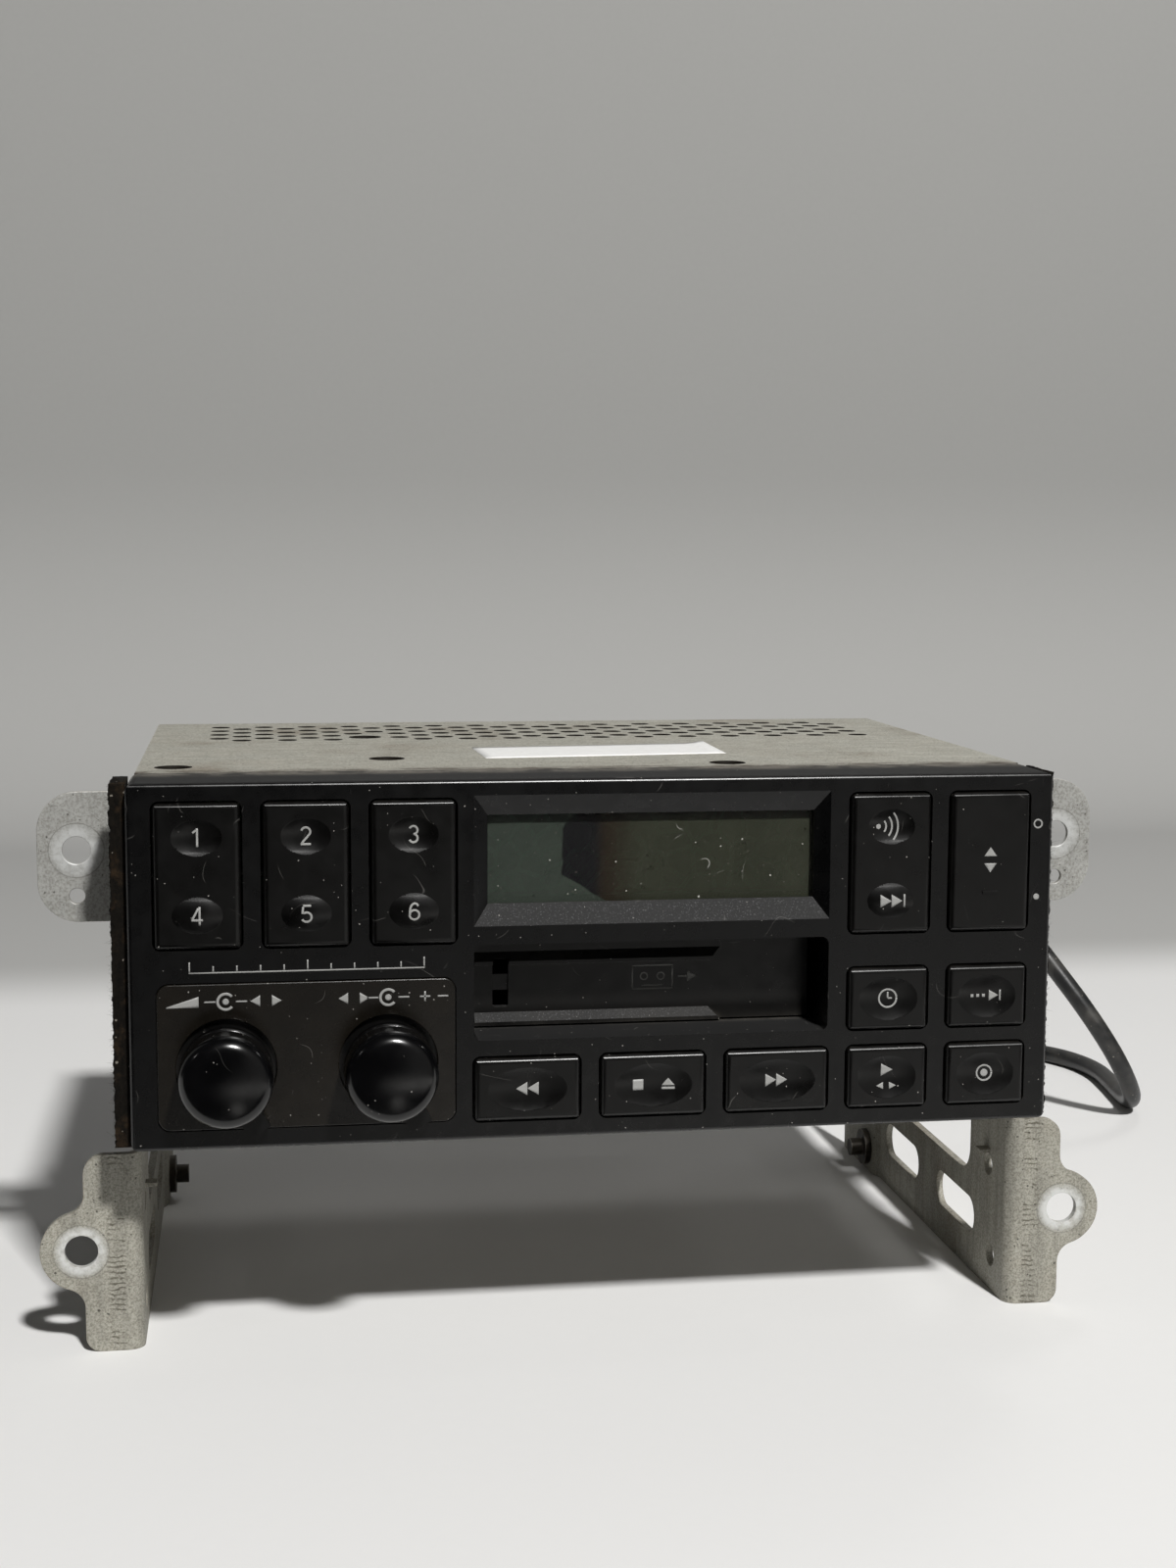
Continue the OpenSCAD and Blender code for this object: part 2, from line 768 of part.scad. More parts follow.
module panel_solids() {
    tongue_w = 10;
    tongue_t = 1.4;
    tongue_l = 10;
    tongue_x = chassis_side - 22;
    difference() {
        soft_block(face_w, face_h, skirt_d, corner_r, edge_r);
        along_y(face_t, skirt_d + cut) square([face_w - 2 * skirt_t, face_h - 2 * skirt_t], center = true);
    }
    // Frame of the display recess
    translate([deck_x, 0, recess_z]) along_y(face_t - 0.1, recess_back)
        square([tunnel_w, recess_h + 2 * rib_t], center = true);
    // Walls of the cassette tunnel, with the cheeks of the hinge
    translate([deck_x, 0, slot_z]) along_y(face_t - 0.1, tunnel_back)
        square([tunnel_w, slot_h + 2 * rib_t], center = true);
    for (x = boss_x) rod_y(boss_r, face_t - 0.1, board_y, x, legend_z);
    for (x = rocker_x) pivot_ears(x);
    // Tongues that slip inside the chassis
    for (s = [-1, 1]) {
        translate([s * tongue_x, 0, top_z - skirt_t - tongue_t / 2])
            block([-tongue_w / 2, face_t, -tongue_t / 2], [tongue_w / 2, skirt_d + tongue_l, tongue_t / 2]);
    }
}

module panel_cuts() {
    recess_pocket();
    translate([deck_x, 0, slot_z]) along_y(-cut, tunnel_back + cut) rounded_rect(deck_w, slot_h, 1.5);
    // Room behind the tunnel's mouth for the square door
    translate([deck_x, 0, slot_z]) along_y(door_y - door_rib_d - 1, tunnel_back + cut)
        square([deck_w, slot_h], center = true);
    rod_x(door_pin_r, deck_x - tunnel_w / 2 - cut, deck_x + tunnel_w / 2 + cut, hinge_y, hinge_z);
    for (x = rocker_x) translate([x, 0, rocker_z]) {
        along_y(-cut, face_t + cut)
            rounded_rect(rocker_w + 2 * key_play, rocker_h + 2 * key_play, key_corner_r + key_play);
        reach = rocker_w / 2 + key_play + pivot_ear_t + cut / 4;
        rod_x(pivot_r + running_gap, -reach, reach, pivot_y, 0);
    }
    for (k = push_keys) translate([k[0], 0, k[1]]) along_y(-cut, face_t + cut)
        rounded_rect(k[2] + 2 * key_play, key_h + 2 * key_play, key_corner_r + key_play);
    translate([plate_x, 0, plate_z]) along_y(-cut, plate_t - plate_proud)
        rounded_rect(preset_group_w, plate_h, plate_corner_r);
    for (x = knob_x) rod_y(bush_r + slip_gap, -cut, face_t + cut, x, knob_z);
    for (x = boss_x) rod_y(boss_screw_r, face_t, board_y + cut, x, legend_z);
}

module front_panel() {
    color("#1b1a1a") seated() difference() {
        panel_solids();
        panel_cuts();
    }
}

module knob_plate() {
    color("#34302b") seated() difference() {
        translate([plate_x, 0, plate_z]) along_y(-plate_proud, plate_t - plate_proud)
            rounded_rect(preset_group_w - 2 * plate_gap, plate_h - 2 * plate_gap, plate_corner_r - plate_gap);
        for (x = knob_x) rod_y(well_d / 2, -cut, plate_t, x, knob_z);
    }
}

module display_lens() {
    color("#6c7669", 0.5) seated() translate([deck_x, 0, recess_z])
        along_y(recess_back, recess_back + lens_t)
            rounded_rect(window_w + 2 * lens_lap, window_h + 2 * lens_lap, 1);
}

module display_module() {
    glass_t = 2.4;
    glass_y = recess_back + lens_t;
    color("#3f4a3c") seated() translate([deck_x, 0, recess_z]) {
        along_y(glass_y, glass_y + glass_t)
            square([window_w + module_lap, window_h + module_lap], center = true);
        along_y(glass_y + glass_t - 0.1, board_y)
            square([window_w + 2 * module_lap, window_h + module_lap - 1], center = true);
    }
}

// Profile of a knob: radius across, distance in front of the face up
module knob_profile() {
    r = knob_d / 2;
    crown = 30;
    groove_d = 0.35;
    groove_w = 0.5;
    intersection() {
        union() {
            difference() {
                translate([0, knob_back]) square([r, knob_reach - knob_back - knob_shoulder_r]);
                translate([r - groove_d, knob_back + 2.8]) square([groove_d + cut, groove_w]);
            }
            translate([0, knob_back]) square([r - knob_shoulder_r, knob_reach - knob_back]);
            intersection() {
                translate([r - knob_shoulder_r, knob_reach - knob_shoulder_r]) circle(r = knob_shoulder_r);
                translate([0, knob_back]) square([r, knob_reach]);
            }
        }
        translate([0, knob_reach - crown]) circle(r = crown, $fn = 96);
    }
}

module knob(x) {
    bore_depth = 8;
    color("#0f0f10") seated() translate([x, 0, knob_z]) rotate([90, 0, 0]) difference() {
        rotate_extrude($fn = 64) knob_profile();
        translate([0, 0, knob_back - cut]) cylinder(r = shaft_r, h = bore_depth + cut);
    }
}

module volume_knob() {
    knob(knob_x[0]);
}

module tone_knob() {
    knob(knob_x[1]);
}

module volume_shaft() {
    color("#b9b4aa") seated() rod_y(shaft_r, -knob_back - 8, shaft_end, knob_x[0], knob_z);
}

module tone_shaft() {
    back = slider_y + slider_t + slip_gap + collar_t;
    color("#b9b4aa") seated() {
        rod_y(shaft_r, -knob_back - 8, back, knob_x[1], knob_z);
        rod_y(collar_r, slider_y - slip_gap - collar_t, slider_y - slip_gap, knob_x[1], knob_z);
        rod_y(collar_r, slider_y + slider_t + slip_gap, back, knob_x[1], knob_z);
    }
}

// Disc and tab on a sleeve that turns between the shaft and the bush
module lever_ring(x) {
    color("#161616") seated() translate([x, 0, knob_z]) rotate([90, 0, 0]) difference() {
        union() {
            translate([0, 0, ring_back]) cylinder(r = ring_d / 2, h = ring_t);
            rotate([0, 0, ring_tab_angle]) translate([0, -ring_tab_w / 2, ring_back])
                cube([ring_reach, ring_tab_w, ring_t]);
            translate([0, 0, -sleeve_end]) cylinder(r = sleeve_r, h = sleeve_end + ring_back + ring_t / 2);
        }
        translate([0, 0, -sleeve_end - cut])
            cylinder(r = shaft_r + running_gap, h = sleeve_end + ring_back + ring_t + 2 * cut);
    }
}

module fader_ring() {
    lever_ring(knob_x[0]);
}

module balance_ring() {
    lever_ring(knob_x[1]);
}

// Control body behind the board, with its bush through the board and the face
module control_body(x) {
    difference() {
        union() {
            translate([x, 0, knob_z]) along_y(board_back, control_back)
                rounded_rect(control_w, control_h, 1.5);
            rod_y(bush_r, plate_t, board_back + cut, x, knob_z);
        }
        rod_y(sleeve_r + running_gap, plate_t - cut, sleeve_end + slip_gap, x, knob_z);
        rod_y(shaft_r + running_gap, plate_t, control_back + cut, x, knob_z);
    }
}

module volume_control() {
    color("#8f8b80") seated() control_body(knob_x[0]);
}

module tone_control() {
    rail_end = slider_y + slider_t;
    color("#8f8b80") seated() {
        control_body(knob_x[1]);
        rail_z = slider_w / 2 + slider_gap + slider_rail_t / 2;
        for (s = [-1, 1]) translate([knob_x[1], 0, knob_z + s * rail_z])
            block(
                [-slider_w / 2, control_back - 0.1, -slider_rail_t / 2],
                [slider_w / 2, rail_end, slider_rail_t / 2]
            );
    }
}

module pull_slider() {
    color("#d8d2c0") seated() difference() {
        translate([knob_x[1], 0, knob_z]) along_y(slider_y, slider_y + slider_t)
            square([slider_w, slider_w], center = true);
        rod_y(shaft_r + running_gap, slider_y - cut, slider_y + slider_t + cut, knob_x[1], knob_z);
    }
}

// Rib along the door, sloped on top, that ends in a slope on the right
module door_rib(z, lean) {
    x0 = deck_x - door_w / 2;
    nose = door_y - door_rib_d;
    top = z + door_rib_h;
    intersection() {
        along_y(nose, door_y + 0.1) polygon([
            [x0, z], [x0 + door_rib_w + lean * door_rib_h, z],
            [x0 + door_rib_w + (1 - lean) * door_rib_h, top], [x0, top]
        ]);
        along_x(x0 - cut, x0 + door_rib_w + door_rib_h + cut) polygon([
            [door_y + 0.2, z - cut], [nose - cut, z - cut], [nose - cut, z + door_rib_flat],
            [nose, z + door_rib_flat], [door_y, top], [door_y, top + cut], [door_y + 0.2, top + cut]
        ]);
    }
}

module cassette_door() {
    leaf_top = hinge_z;
    bridge_h = 3.2;
    color("#222021") seated() difference() {
        union() {
            block([deck_x - door_w / 2, door_y, door_foot], [deck_x + door_w / 2, door_y + door_t, leaf_top]);
            rod_x(hinge_r, deck_x - door_w / 2, deck_x + door_w / 2, hinge_y, hinge_z);
            door_rib(hinge_z - hinge_r - door_rib_h, 0);
            door_rib(door_foot, 1);
        }
        rod_x(
            door_pin_r + running_gap, deck_x - door_w / 2 - cut, deck_x + door_w / 2 + cut, hinge_y, hinge_z
        );
        // Slit with a bridge set back in its middle
        difference() {
            translate([door_slit_x, 0, door_slit_z]) along_y(door_y - door_rib_d - cut, door_y + door_t + cut)
                rounded_rect(door_slit_w, door_slit_h, 0.6);
            translate([door_slit_x, 0, door_slit_z]) along_y(door_y + 0.6, door_y + door_t + cut)
                square([door_slit_w + cut, bridge_h], center = true);
        }
    }
}

module door_pin() {
    color("#c9c6bf") seated()
        rod_x(door_pin_r, deck_x - door_pin_l / 2, deck_x + door_pin_l / 2, hinge_y, hinge_z);
}

// Places of every push switch on the front board
switch_places = concat(
    [for (k = push_keys) [k[0], k[1]]],
    [for (x = rocker_x, s = [-1, 1]) [x, rocker_z + s * oval_step]]
);

module push_switches() {
    color("#3b3a3a") seated() for (p = switch_places) translate([p[0], 0, p[1]]) {
        along_y(board_y - switch_h, board_y) square([switch_w, switch_w], center = true);
        rod_y(plunger_r, plunger_y, board_y - switch_h + 0.1, 0, 0);
    }
}

module front_board() {
    board_play = 0.5;
    inset = skirt_t + board_play;
    color("#2f5a3a") seated() difference() {
        along_y(board_y, board_back) square([face_w - 2 * inset, face_h - 2 * inset], center = true);
        translate([deck_x, 0, slot_z]) along_y(board_y - cut, board_back + cut)
            square([tunnel_w + 2 * board_play, slot_h + 2 * rib_t + 2 * board_play], center = true);
        for (x = knob_x) rod_y(bush_r + slip_gap, board_y - cut, board_back + cut, x, knob_z);
        for (x = boss_x) rod_y(boss_screw_r + running_gap, board_y - cut, board_back + cut, x, legend_z);
        for (s = [-1, 1]) translate([s * (chassis_side - 22), 0, top_z - skirt_t])
            block([-6, board_y - cut, -3], [6, board_back + cut, 3]);
    }
}

module small_screw(length) {
    cylinder(r = small_screw_r - running_gap, h = length);
    translate([0, 0, -small_head_t]) cylinder(r = small_head_r, h = small_head_t);
}

module small_screws() {
    color("#8a8780") seated() {
        for (x = boss_x) translate([x, board_back, legend_z]) rotate([90, 0, 0]) small_screw(board_t + 5);
        for (s = [-1, 1]) {
            translate([s * lip_screw_x, rear_y + sheet_t, chassis_top - sheet_t - lip_h / 2])
                rotate([90, 0, 0]) small_screw(4);
            translate([s * lip_screw_x, rear_y + sheet_t, pan_z + lip_h / 2])
                rotate([90, 0, 0]) small_screw(4);
        }
    }
}

module ledge(s, y) {
    inner = chassis_side - sheet_t;
    x0 = s > 0 ? inner - ledge_reach : -inner - 0.1;
    block([x0, y - ledge_w / 2, main_z - sheet_t], [x0 + ledge_reach + 0.1, y + ledge_w / 2, main_z]);
}

module chassis_walls() {
    low = chassis_bottom + sheet_t;
    high = chassis_top - sheet_t;
    for (s = [-1, 1]) {
        x0 = s > 0 ? chassis_side - sheet_t : -chassis_side;
        block([x0, skirt_d, low], [x0 + sheet_t, rear_y, high]);
        ledge(s, main_front + ledge_w);
        ledge(s, main_back - ledge_w);
    }
    block([-chassis_side, rear_y - sheet_t, low], [chassis_side, rear_y, high]);
}

module chassis() {
    through = chassis_side + cut;
    color("#a7a194") seated() difference() {
        chassis_walls();
        for (y = bracket_screw_y) rod_x(screw_r + running_gap, -through, through, y, bracket_screw_z);
        for (z = ear_screw_z) rod_x(screw_r + running_gap, -through, through, ear_screw_y, z);
        translate([socket_x, 0, socket_z]) along_y(rear_y - sheet_t - cut, rear_y + cut)
            square([socket_w + 2 * running_gap, socket_h + 2 * running_gap], center = true);
        rod_y(gland_r - 2 + running_gap, rear_y - sheet_t - cut, rear_y + cut, gland_x, gland_z);
        for (s = [-1, 1], z = [chassis_top - sheet_t - lip_h / 2, pan_z + lip_h / 2])
            rod_y(small_screw_r, rear_y - sheet_t - cut, rear_y + cut, s * lip_screw_x, z);
    }
}

// Access holes in the top cover: distance right of the middle, distance behind the chassis front
access_holes = [[-82, 10.4], [-39, 23], [29.6, 7.4], [-41, 72]];
vent_back = rear_y - 10;
vent_columns = floor((chassis_w - 20) / vent_pitch);

function clear_of_access(x, y) = min([
    for (h = access_holes) norm([x - h[0], y - skirt_d - h[1]])
]) > (access_d + vent_d) / 2 + 0.6;

module top_cover() {
    color("#aaa495") seated() {
        along_z(chassis_top - sheet_t, chassis_top) difference() {
            translate([-chassis_side, skirt_d]) square([chassis_w, chassis_d + sheet_t]);
            for (row = [0:vent_rows - 1], i = [0:vent_columns - 1]) {
                shift = (row % 2) * vent_pitch / 2;
                x = (i - vent_columns / 2 + 0.25) * vent_pitch + shift;
                y = vent_back - row * vent_row;
                if (clear_of_access(x, y)) translate([x, y]) circle(d = vent_d, $fn = 24);
            }
            for (h = access_holes) translate([h[0], skirt_d + h[1]]) circle(d = access_d);
        }
        rear_lip(chassis_top - sheet_t - lip_h, chassis_top - sheet_t / 2);
    }
}

// Down-turned or up-turned rear edge of a cover, with its screw holes
module rear_lip(z0, z1) {
    middle = z0 < 0 ? pan_z + lip_h / 2 : chassis_top - sheet_t - lip_h / 2;
    difference() {
        for (s = [-1, 1]) translate([s * lip_screw_x, 0, 0])
            block([-8, rear_y, z0], [8, rear_y + sheet_t, z1]);
        for (s = [-1, 1])
            rod_y(small_screw_r, rear_y - cut, rear_y + sheet_t + cut, s * lip_screw_x, middle);
    }
}

module bottom_cover() {
    color("#9f998c") seated() difference() {
        union() {
            along_z(chassis_bottom, pan_z)
                translate([-chassis_side, skirt_d]) square([chassis_w, chassis_d + sheet_t]);
            rear_lip(chassis_bottom + sheet_t / 2, pan_z + lip_h);
        }
        for (x = leg_x, y = leg_y) rod_z(1.5, chassis_bottom - cut, pan_z + cut, x, y);
    }
}

// Outline of the front flange with its round ear, in X and Z
module flange_outline() {
    tip_r = 4;
    low_r = 3;
    blend_r = 4;
    hole_x = bracket_x + ear_x;
    hole_z = floor_z + low_hole_z;
    x0 = bracket_x + bend_out;
    blend_x = flange_edge + blend_r - hole_x;
    blend_z = sqrt(pow(blend_r + low_ear_r, 2) - blend_x * blend_x);
    touch_x = hole_x + low_ear_r * blend_x / (blend_r + low_ear_r);
    translate([x0, floor_z + low_r]) square([flange_edge - x0, flange_h - tip_r - low_r]);
    translate([x0, floor_z]) square([flange_edge - x0 - low_r, flange_h / 2]);
    translate([x0, flange_top - flange_h / 2]) square([flange_edge - x0 - tip_r, flange_h / 2]);
    translate([flange_edge - low_r, floor_z + low_r]) circle(r = low_r);
    translate([flange_edge - tip_r, flange_top - tip_r]) circle(r = tip_r);
    translate([hole_x, hole_z]) circle(r = low_ear_r);
    difference() {
        translate([flange_edge - 0.5, hole_z - blend_z]) square([touch_x - flange_edge + 0.5, 2 * blend_z]);
        for (s = [-1, 1]) translate([flange_edge + blend_r, hole_z + s * blend_z]) circle(r = blend_r);
    }
}

// Fillet of radius r in the corner at the origin, filling towards +Y and +Z
module corner_fillet(r) {
    difference() {
        translate([-0.1, -0.1]) square([r + 0.1, r + 0.1]);
        translate([r, r]) circle(r = r);
    }
}

// Front post and the plate on the chassis side, in Y and Z
module post_outline() {
    y0 = flange_y + bend_out;
    side_r = 4;
    translate([y0, floor_z + arm_h / 2]) square([post_back - y0, flange_h - arm_h / 2]);
    side_low = flange_top - cut;
    translate([side_y, side_low]) square([post_back - side_y, side_z + side_h / 2 - side_low]);
    translate([side_y + side_d / 2, side_z + side_h / 2]) rounded_rect(side_d, side_h, side_r);
    translate([post_back, arm_top]) corner_fillet(6);
    translate([post_back, side_z]) mirror([0, 1]) corner_fillet(4);
}

// Plan of the arm, which steps inwards near its rear end, in X and Y
module arm_plan() {
    x0 = bracket_x;
    x1 = bracket_x + bracket_t;
    polygon([
        [x0, flange_y + bend_out], [x1, flange_y + bend_out],
        [x1, joggle_y], [x1 - joggle, joggle_y + joggle_run], [x1 - joggle, arm_end],
        [x0 - joggle, arm_end], [x0 - joggle, joggle_y + joggle_run], [x0, joggle_y]
    ]);
}

module bracket() {
    bend_x = bracket_x + bend_out;
    bend_y = flange_y + bend_out;
    difference() {
        union() {
            along_z(floor_z, arm_top) arm_plan();
            along_x(bracket_x, bracket_x + bracket_t) post_outline();
            along_y(flange_y, flange_y + bracket_t) flange_outline();
            // Bend between the side plate and the flange
            along_z(floor_z, flange_top) intersection() {
                difference() {
                    translate([bend_x, bend_y]) circle(r = bend_out);
                    translate([bend_x, bend_y]) circle(r = bend_r);
                }
                translate([bracket_x - cut, flange_y - cut]) square([bend_out + cut, bend_out + cut]);
            }
            // Lanced tab that points inwards above the upper side hole
            block(
                [bracket_x - lance_w, lance_y, upper_hole[1] + side_hole_r + 0.4],
                [bracket_x + 0.1, lance_y + lance_d, upper_hole[1] + side_hole_r + 0.4 + lance_t]
            );
        }
        rod_y(
            low_hole_d / 2, flange_y - cut, flange_y + bracket_t + cut,
            bracket_x + ear_x, floor_z + low_hole_z
        );
        for (i = [0, 1]) translate([0, slot_y + i * arm_slot_pitch, arm_slot_z])
            along_x(bracket_x - cut, bracket_x + bracket_t + cut)
                obround(arm_slot_l, arm_slot_h);
        for (p = [upper_hole, lower_hole])
            rod_x(side_hole_r, bracket_x - cut, bracket_x + bracket_t + cut, p[0], p[1]);
        for (y = bracket_screw_y)
            rod_x(screw_r + running_gap, bracket_x - cut, bracket_x + bracket_t + cut, y, bracket_screw_z);
        rod_x(
            rivet_r + running_gap, bracket_x - joggle - cut, bracket_x + bracket_t + cut,
            stud_hole[0], stud_hole[1]
        );
    }
}

module right_bracket() {
    color("#98948a") seated() bracket();
}

module left_bracket() {
    color("#98948a") seated() mirror([1, 0, 0]) bracket();
}

// Stud riveted to the inside of a bracket's rear end
module locating_stud() {
    face = bracket_x - joggle;
    rod_x(rivet_r, face - stud_flange_t / 2, face + bracket_t, stud_hole[0], stud_hole[1]);
    rod_x(stud_flange_r, face - stud_flange_t, face, stud_hole[0], stud_hole[1]);
    tip = face - stud_flange_t;
    rod_x(stud_tip_r, tip - stud_tip_l, tip + 0.1, stud_hole[0], stud_hole[1]);
}

module locating_studs() {
    color("#3a342c") seated() {
        locating_stud();
        mirror([1, 0, 0]) locating_stud();
    }
}

module ear() {
    x0 = chassis_side;
    hole_x = chassis_side + ear_x;
    leg_h = ear_h - 6;
    difference() {
        union() {
            along_y(ear_y, ear_y + ear_t) intersection() {
                translate([x0 - ear_w, ear_z - ear_h / 2]) translate([ear_w, ear_h / 2])
                    rounded_rect(2 * ear_w, ear_h, ear_r);
                translate([x0, ear_z - ear_h]) square([2 * ear_w, 2 * ear_h]);
            }
            block([x0, ear_y, ear_z - leg_h / 2], [x0 + ear_t, ear_y + ear_leg_d, ear_z + leg_h / 2]);
        }
        rod_y(ear_hole_d / 2, ear_y - cut, ear_y + ear_t + cut, hole_x, ear_z + 1.3);
        rod_y(ear_pilot_d / 2, ear_y - cut, ear_y + ear_t + cut, hole_x, ear_z + 1.3 - ear_hole_pitch);
        for (z = ear_screw_z) rod_x(screw_r + running_gap, x0 - cut, x0 + ear_t + cut, ear_screw_y, z);
    }
}

module right_ear() {
    color("#bdbcb6") seated() ear();
}

module left_ear() {
    color("#bdbcb6") seated() mirror([1, 0, 0]) ear();
}

// Screw that enters the chassis side from outside, head against a plate of thickness t
module side_screw(y, z, t) {
    x = chassis_side + t;
    rod_x(screw_r, x - t - screw_l, x + 0.1, y, z);
    difference() {
        rod_x(screw_head_r, x, x + screw_head_t, y, z);
        block([x + screw_head_t / 2, y - 0.5, z - 2.4], [x + screw_head_t + cut, y + 0.5, z + 2.4]);
        block([x + screw_head_t / 2, y - 2.4, z - 0.5], [x + screw_head_t + cut, y + 2.4, z + 0.5]);
    }
}

module side_screws() {
    color("#7c776b") seated() for (m = [0, 1]) mirror([m, 0, 0]) {
        for (y = bracket_screw_y) side_screw(y, bracket_screw_z, bracket_t);
        for (z = ear_screw_z) side_screw(ear_screw_y, z, ear_t);
    }
}

module felt_strips() {
    low = bottom_z + 0.3;
    high = top_z - 0.3;
    back = felt_y + felt_d;
    color("#2b241c") seated() {
        block([-face_w / 2 - felt_t, felt_y, low], [-face_w / 2, back, high]);
        block([face_w / 2, felt_y, low], [face_w / 2 + felt_right_t, back, high]);
    }
}

// Post beside the carriage with an upright slot for its guide pin
module guide_post(x0, y) {
    slot_low = guide_z - carriage_drop;
    difference() {
        block([x0, y - cheek_w / 2, deck_top - 0.1], [x0 + deck_t, y + cheek_w / 2, cheek_top]);
        block(
            [x0 - cut, y - guide_r - slip_gap / 2, slot_low - guide_r - slip_gap],
            [x0 + deck_t + cut, y + guide_r + slip_gap / 2, guide_z + guide_r + slip_gap]
        );
    }
}

module deck_frame() {
    color("#b5b1a6") seated() {
        difference() {
            union() {
                block([deck_left, deck_front, deck_bottom], [deck_right, deck_back, deck_top]);
                block(
                    [motor_x - motor_plate, motor_y - motor_plate, deck_bottom],
                    [deck_left + cut, motor_y + motor_plate, deck_top]
                );
                for (x = leg_x, y = leg_y) rod_z(leg_r, pan_z, deck_bottom + 0.1, x, y);
            }
            for (y = reel_y) rod_z(1 + running_gap, deck_bottom - cut, deck_top + cut, reel_x, y);
            for (y = capstan_y)
                rod_z(capstan_r + running_gap, deck_bottom - cut, deck_top + cut, capstan_x, y);
            rod_z(3, deck_bottom - cut, deck_top + cut, motor_x, motor_y);
            for (x = leg_x, y = leg_y) rod_z(1.2, pan_z - cut, deck_bottom, x, y);
        }
        for (y = guide_y) {
            guide_post(deck_x + cheek_x, y);
            guide_post(deck_x - cheek_x - deck_t, y);
        }
        // Studs that guide the head plate, with heads above it
        for (y = guide_y) {
            rod_z(stud_r, deck_top - 0.1, head_z + head_t + slip_gap + 0.1, stud_x, y);
            rod_z(stud_r + 1.2, head_z + head_t + slip_gap, head_z + head_t + slip_gap + 1, stud_x, y);
        }
    }
}

// Section of the carriage across the deck: roof, walls and the lips that carry a cassette
module carriage_section() {
    w = carriage_side;
    translate([-w - sheet_t, carriage_roof]) square([2 * w + 2 * sheet_t, sheet_t]);
    for (m = [0, 1]) mirror([m, 0]) {
        translate([w, carriage_floor - sheet_t])
            square([sheet_t, carriage_roof - carriage_floor + 2 * sheet_t]);
        translate([w - lip_w, carriage_floor - sheet_t]) square([lip_w + sheet_t, sheet_t]);
    }
}

module cassette_carriage() {
    right = deck_x + carriage_side;
    low = carriage_floor - sheet_t - cut;
    color("#c4c0b4") seated() {
        difference() {
            translate([deck_x, 0, 0]) along_y(carriage_front, carriage_back) carriage_section();
            // Openings on the tape side for the head and the rollers
            block(
                [right - lip_w - cut, guide_y[0] + wall_piece / 2, low],
                [right + sheet_t + cut, guide_y[1] - wall_piece / 2, carriage_roof]
            );
            block(
                [right - lip_w - cut, carriage_front - cut, low],
                [right + sheet_t + cut, guide_y[0] - wall_piece / 2, carriage_roof]
            );
            block(
                [right - lip_w - cut, guide_y[1] + wall_piece / 2, low],
                [right + sheet_t + cut, carriage_back + cut, carriage_roof]
            );
            // Windows in the roof over the reels
            for (y = reel_y) rod_z(10, carriage_roof - cut, carriage_roof + sheet_t + cut, reel_x, y);
        }
        for (y = guide_y) {
            rod_x(guide_r, right + sheet_t / 2, right + sheet_t + cheek_gap + deck_t, y, guide_z);
            left = deck_x - carriage_side;
            rod_x(guide_r, left - sheet_t - cheek_gap - deck_t, left - sheet_t / 2, y, guide_z);
        }
    }
}

module head_plate() {
    slot_x1 = stud_x + head_stroke;
    fingers = [
        [capstan_y[0], finger_w], [cassette_y, head_w + 2], [capstan_y[1], finger_w]
    ];
    color("#b0aca2") seated() {
        difference() {
            union() {
                block(
                    [head_bar_x, capstan_y[0] - finger_w / 2, head_z],
                    [head_bar_x + head_bar_w, capstan_y[1] + finger_w / 2, head_z + head_t]
                );
                for (f = fingers) block(
                    [head_front, f[0] - f[1] / 2, head_z],
                    [head_bar_x + cut, f[0] + f[1] / 2, head_z + head_t]
                );
            }
            for (y = guide_y) {
                r = stud_r + slip_gap / 2;
                block([stud_x, y - r, head_z - cut], [slot_x1, y + r, head_z + head_t + cut]);
                for (x = [stud_x, slot_x1]) rod_z(r, head_z - cut, head_z + head_t + cut, x, y);
            }
        }
        for (y = capstan_y)
            rod_z(roller_pin_r, head_z + head_t - 0.1, head_z + head_t + roller_h + 3, roller_x, y);
    }
}

module tape_head() {
    z0 = head_z + head_t;
    x0 = head_front + 1;
    nose_r = head_w / 2 + 3;
    color("#d2cfc8") seated() along_z(z0, z0 + head_h) intersection() {
        translate([x0, cassette_y - head_w / 2]) square([head_d, head_w]);
        translate([x0 + nose_r, cassette_y]) circle(r = nose_r, $fn = 64);
    }
}

module pinch_roller(y) {
    z0 = head_z + head_t + 1.4;
    color("#1e1c1a") seated() difference() {
        rod_z(roller_r, z0, z0 + roller_h, roller_x, y);
        rod_z(roller_pin_r + running_gap, z0 - cut, z0 + roller_h + cut, roller_x, y);
    }
}

module pinch_roller_front() {
    pinch_roller(capstan_y[0]);
}

module pinch_roller_rear() {
    pinch_roller(capstan_y[1]);
}

module reel_spindle(y) {
    table_z = deck_top + 0.4;
    table_t = 1.2;
    top = carriage_floor - 0.8;
    hub_r = 4.2;
    color("#e2ddd0") seated() translate([reel_x, y, 0]) {
        rod_z(1, deck_bottom - 0.6, table_z + 0.1, 0, 0);
        rod_z(8, table_z, table_z + table_t, 0, 0);
        rod_z(hub_r - 1, table_z, top, 0, 0);
        for (i = [0:2]) rotate([0, 0, i * 120]) block([0, -0.6, table_z], [hub_r, 0.6, top - 1]);
    }
}

module reel_spindle_front() {
    reel_spindle(reel_y[0]);
}

module reel_spindle_rear() {
    reel_spindle(reel_y[1]);
}

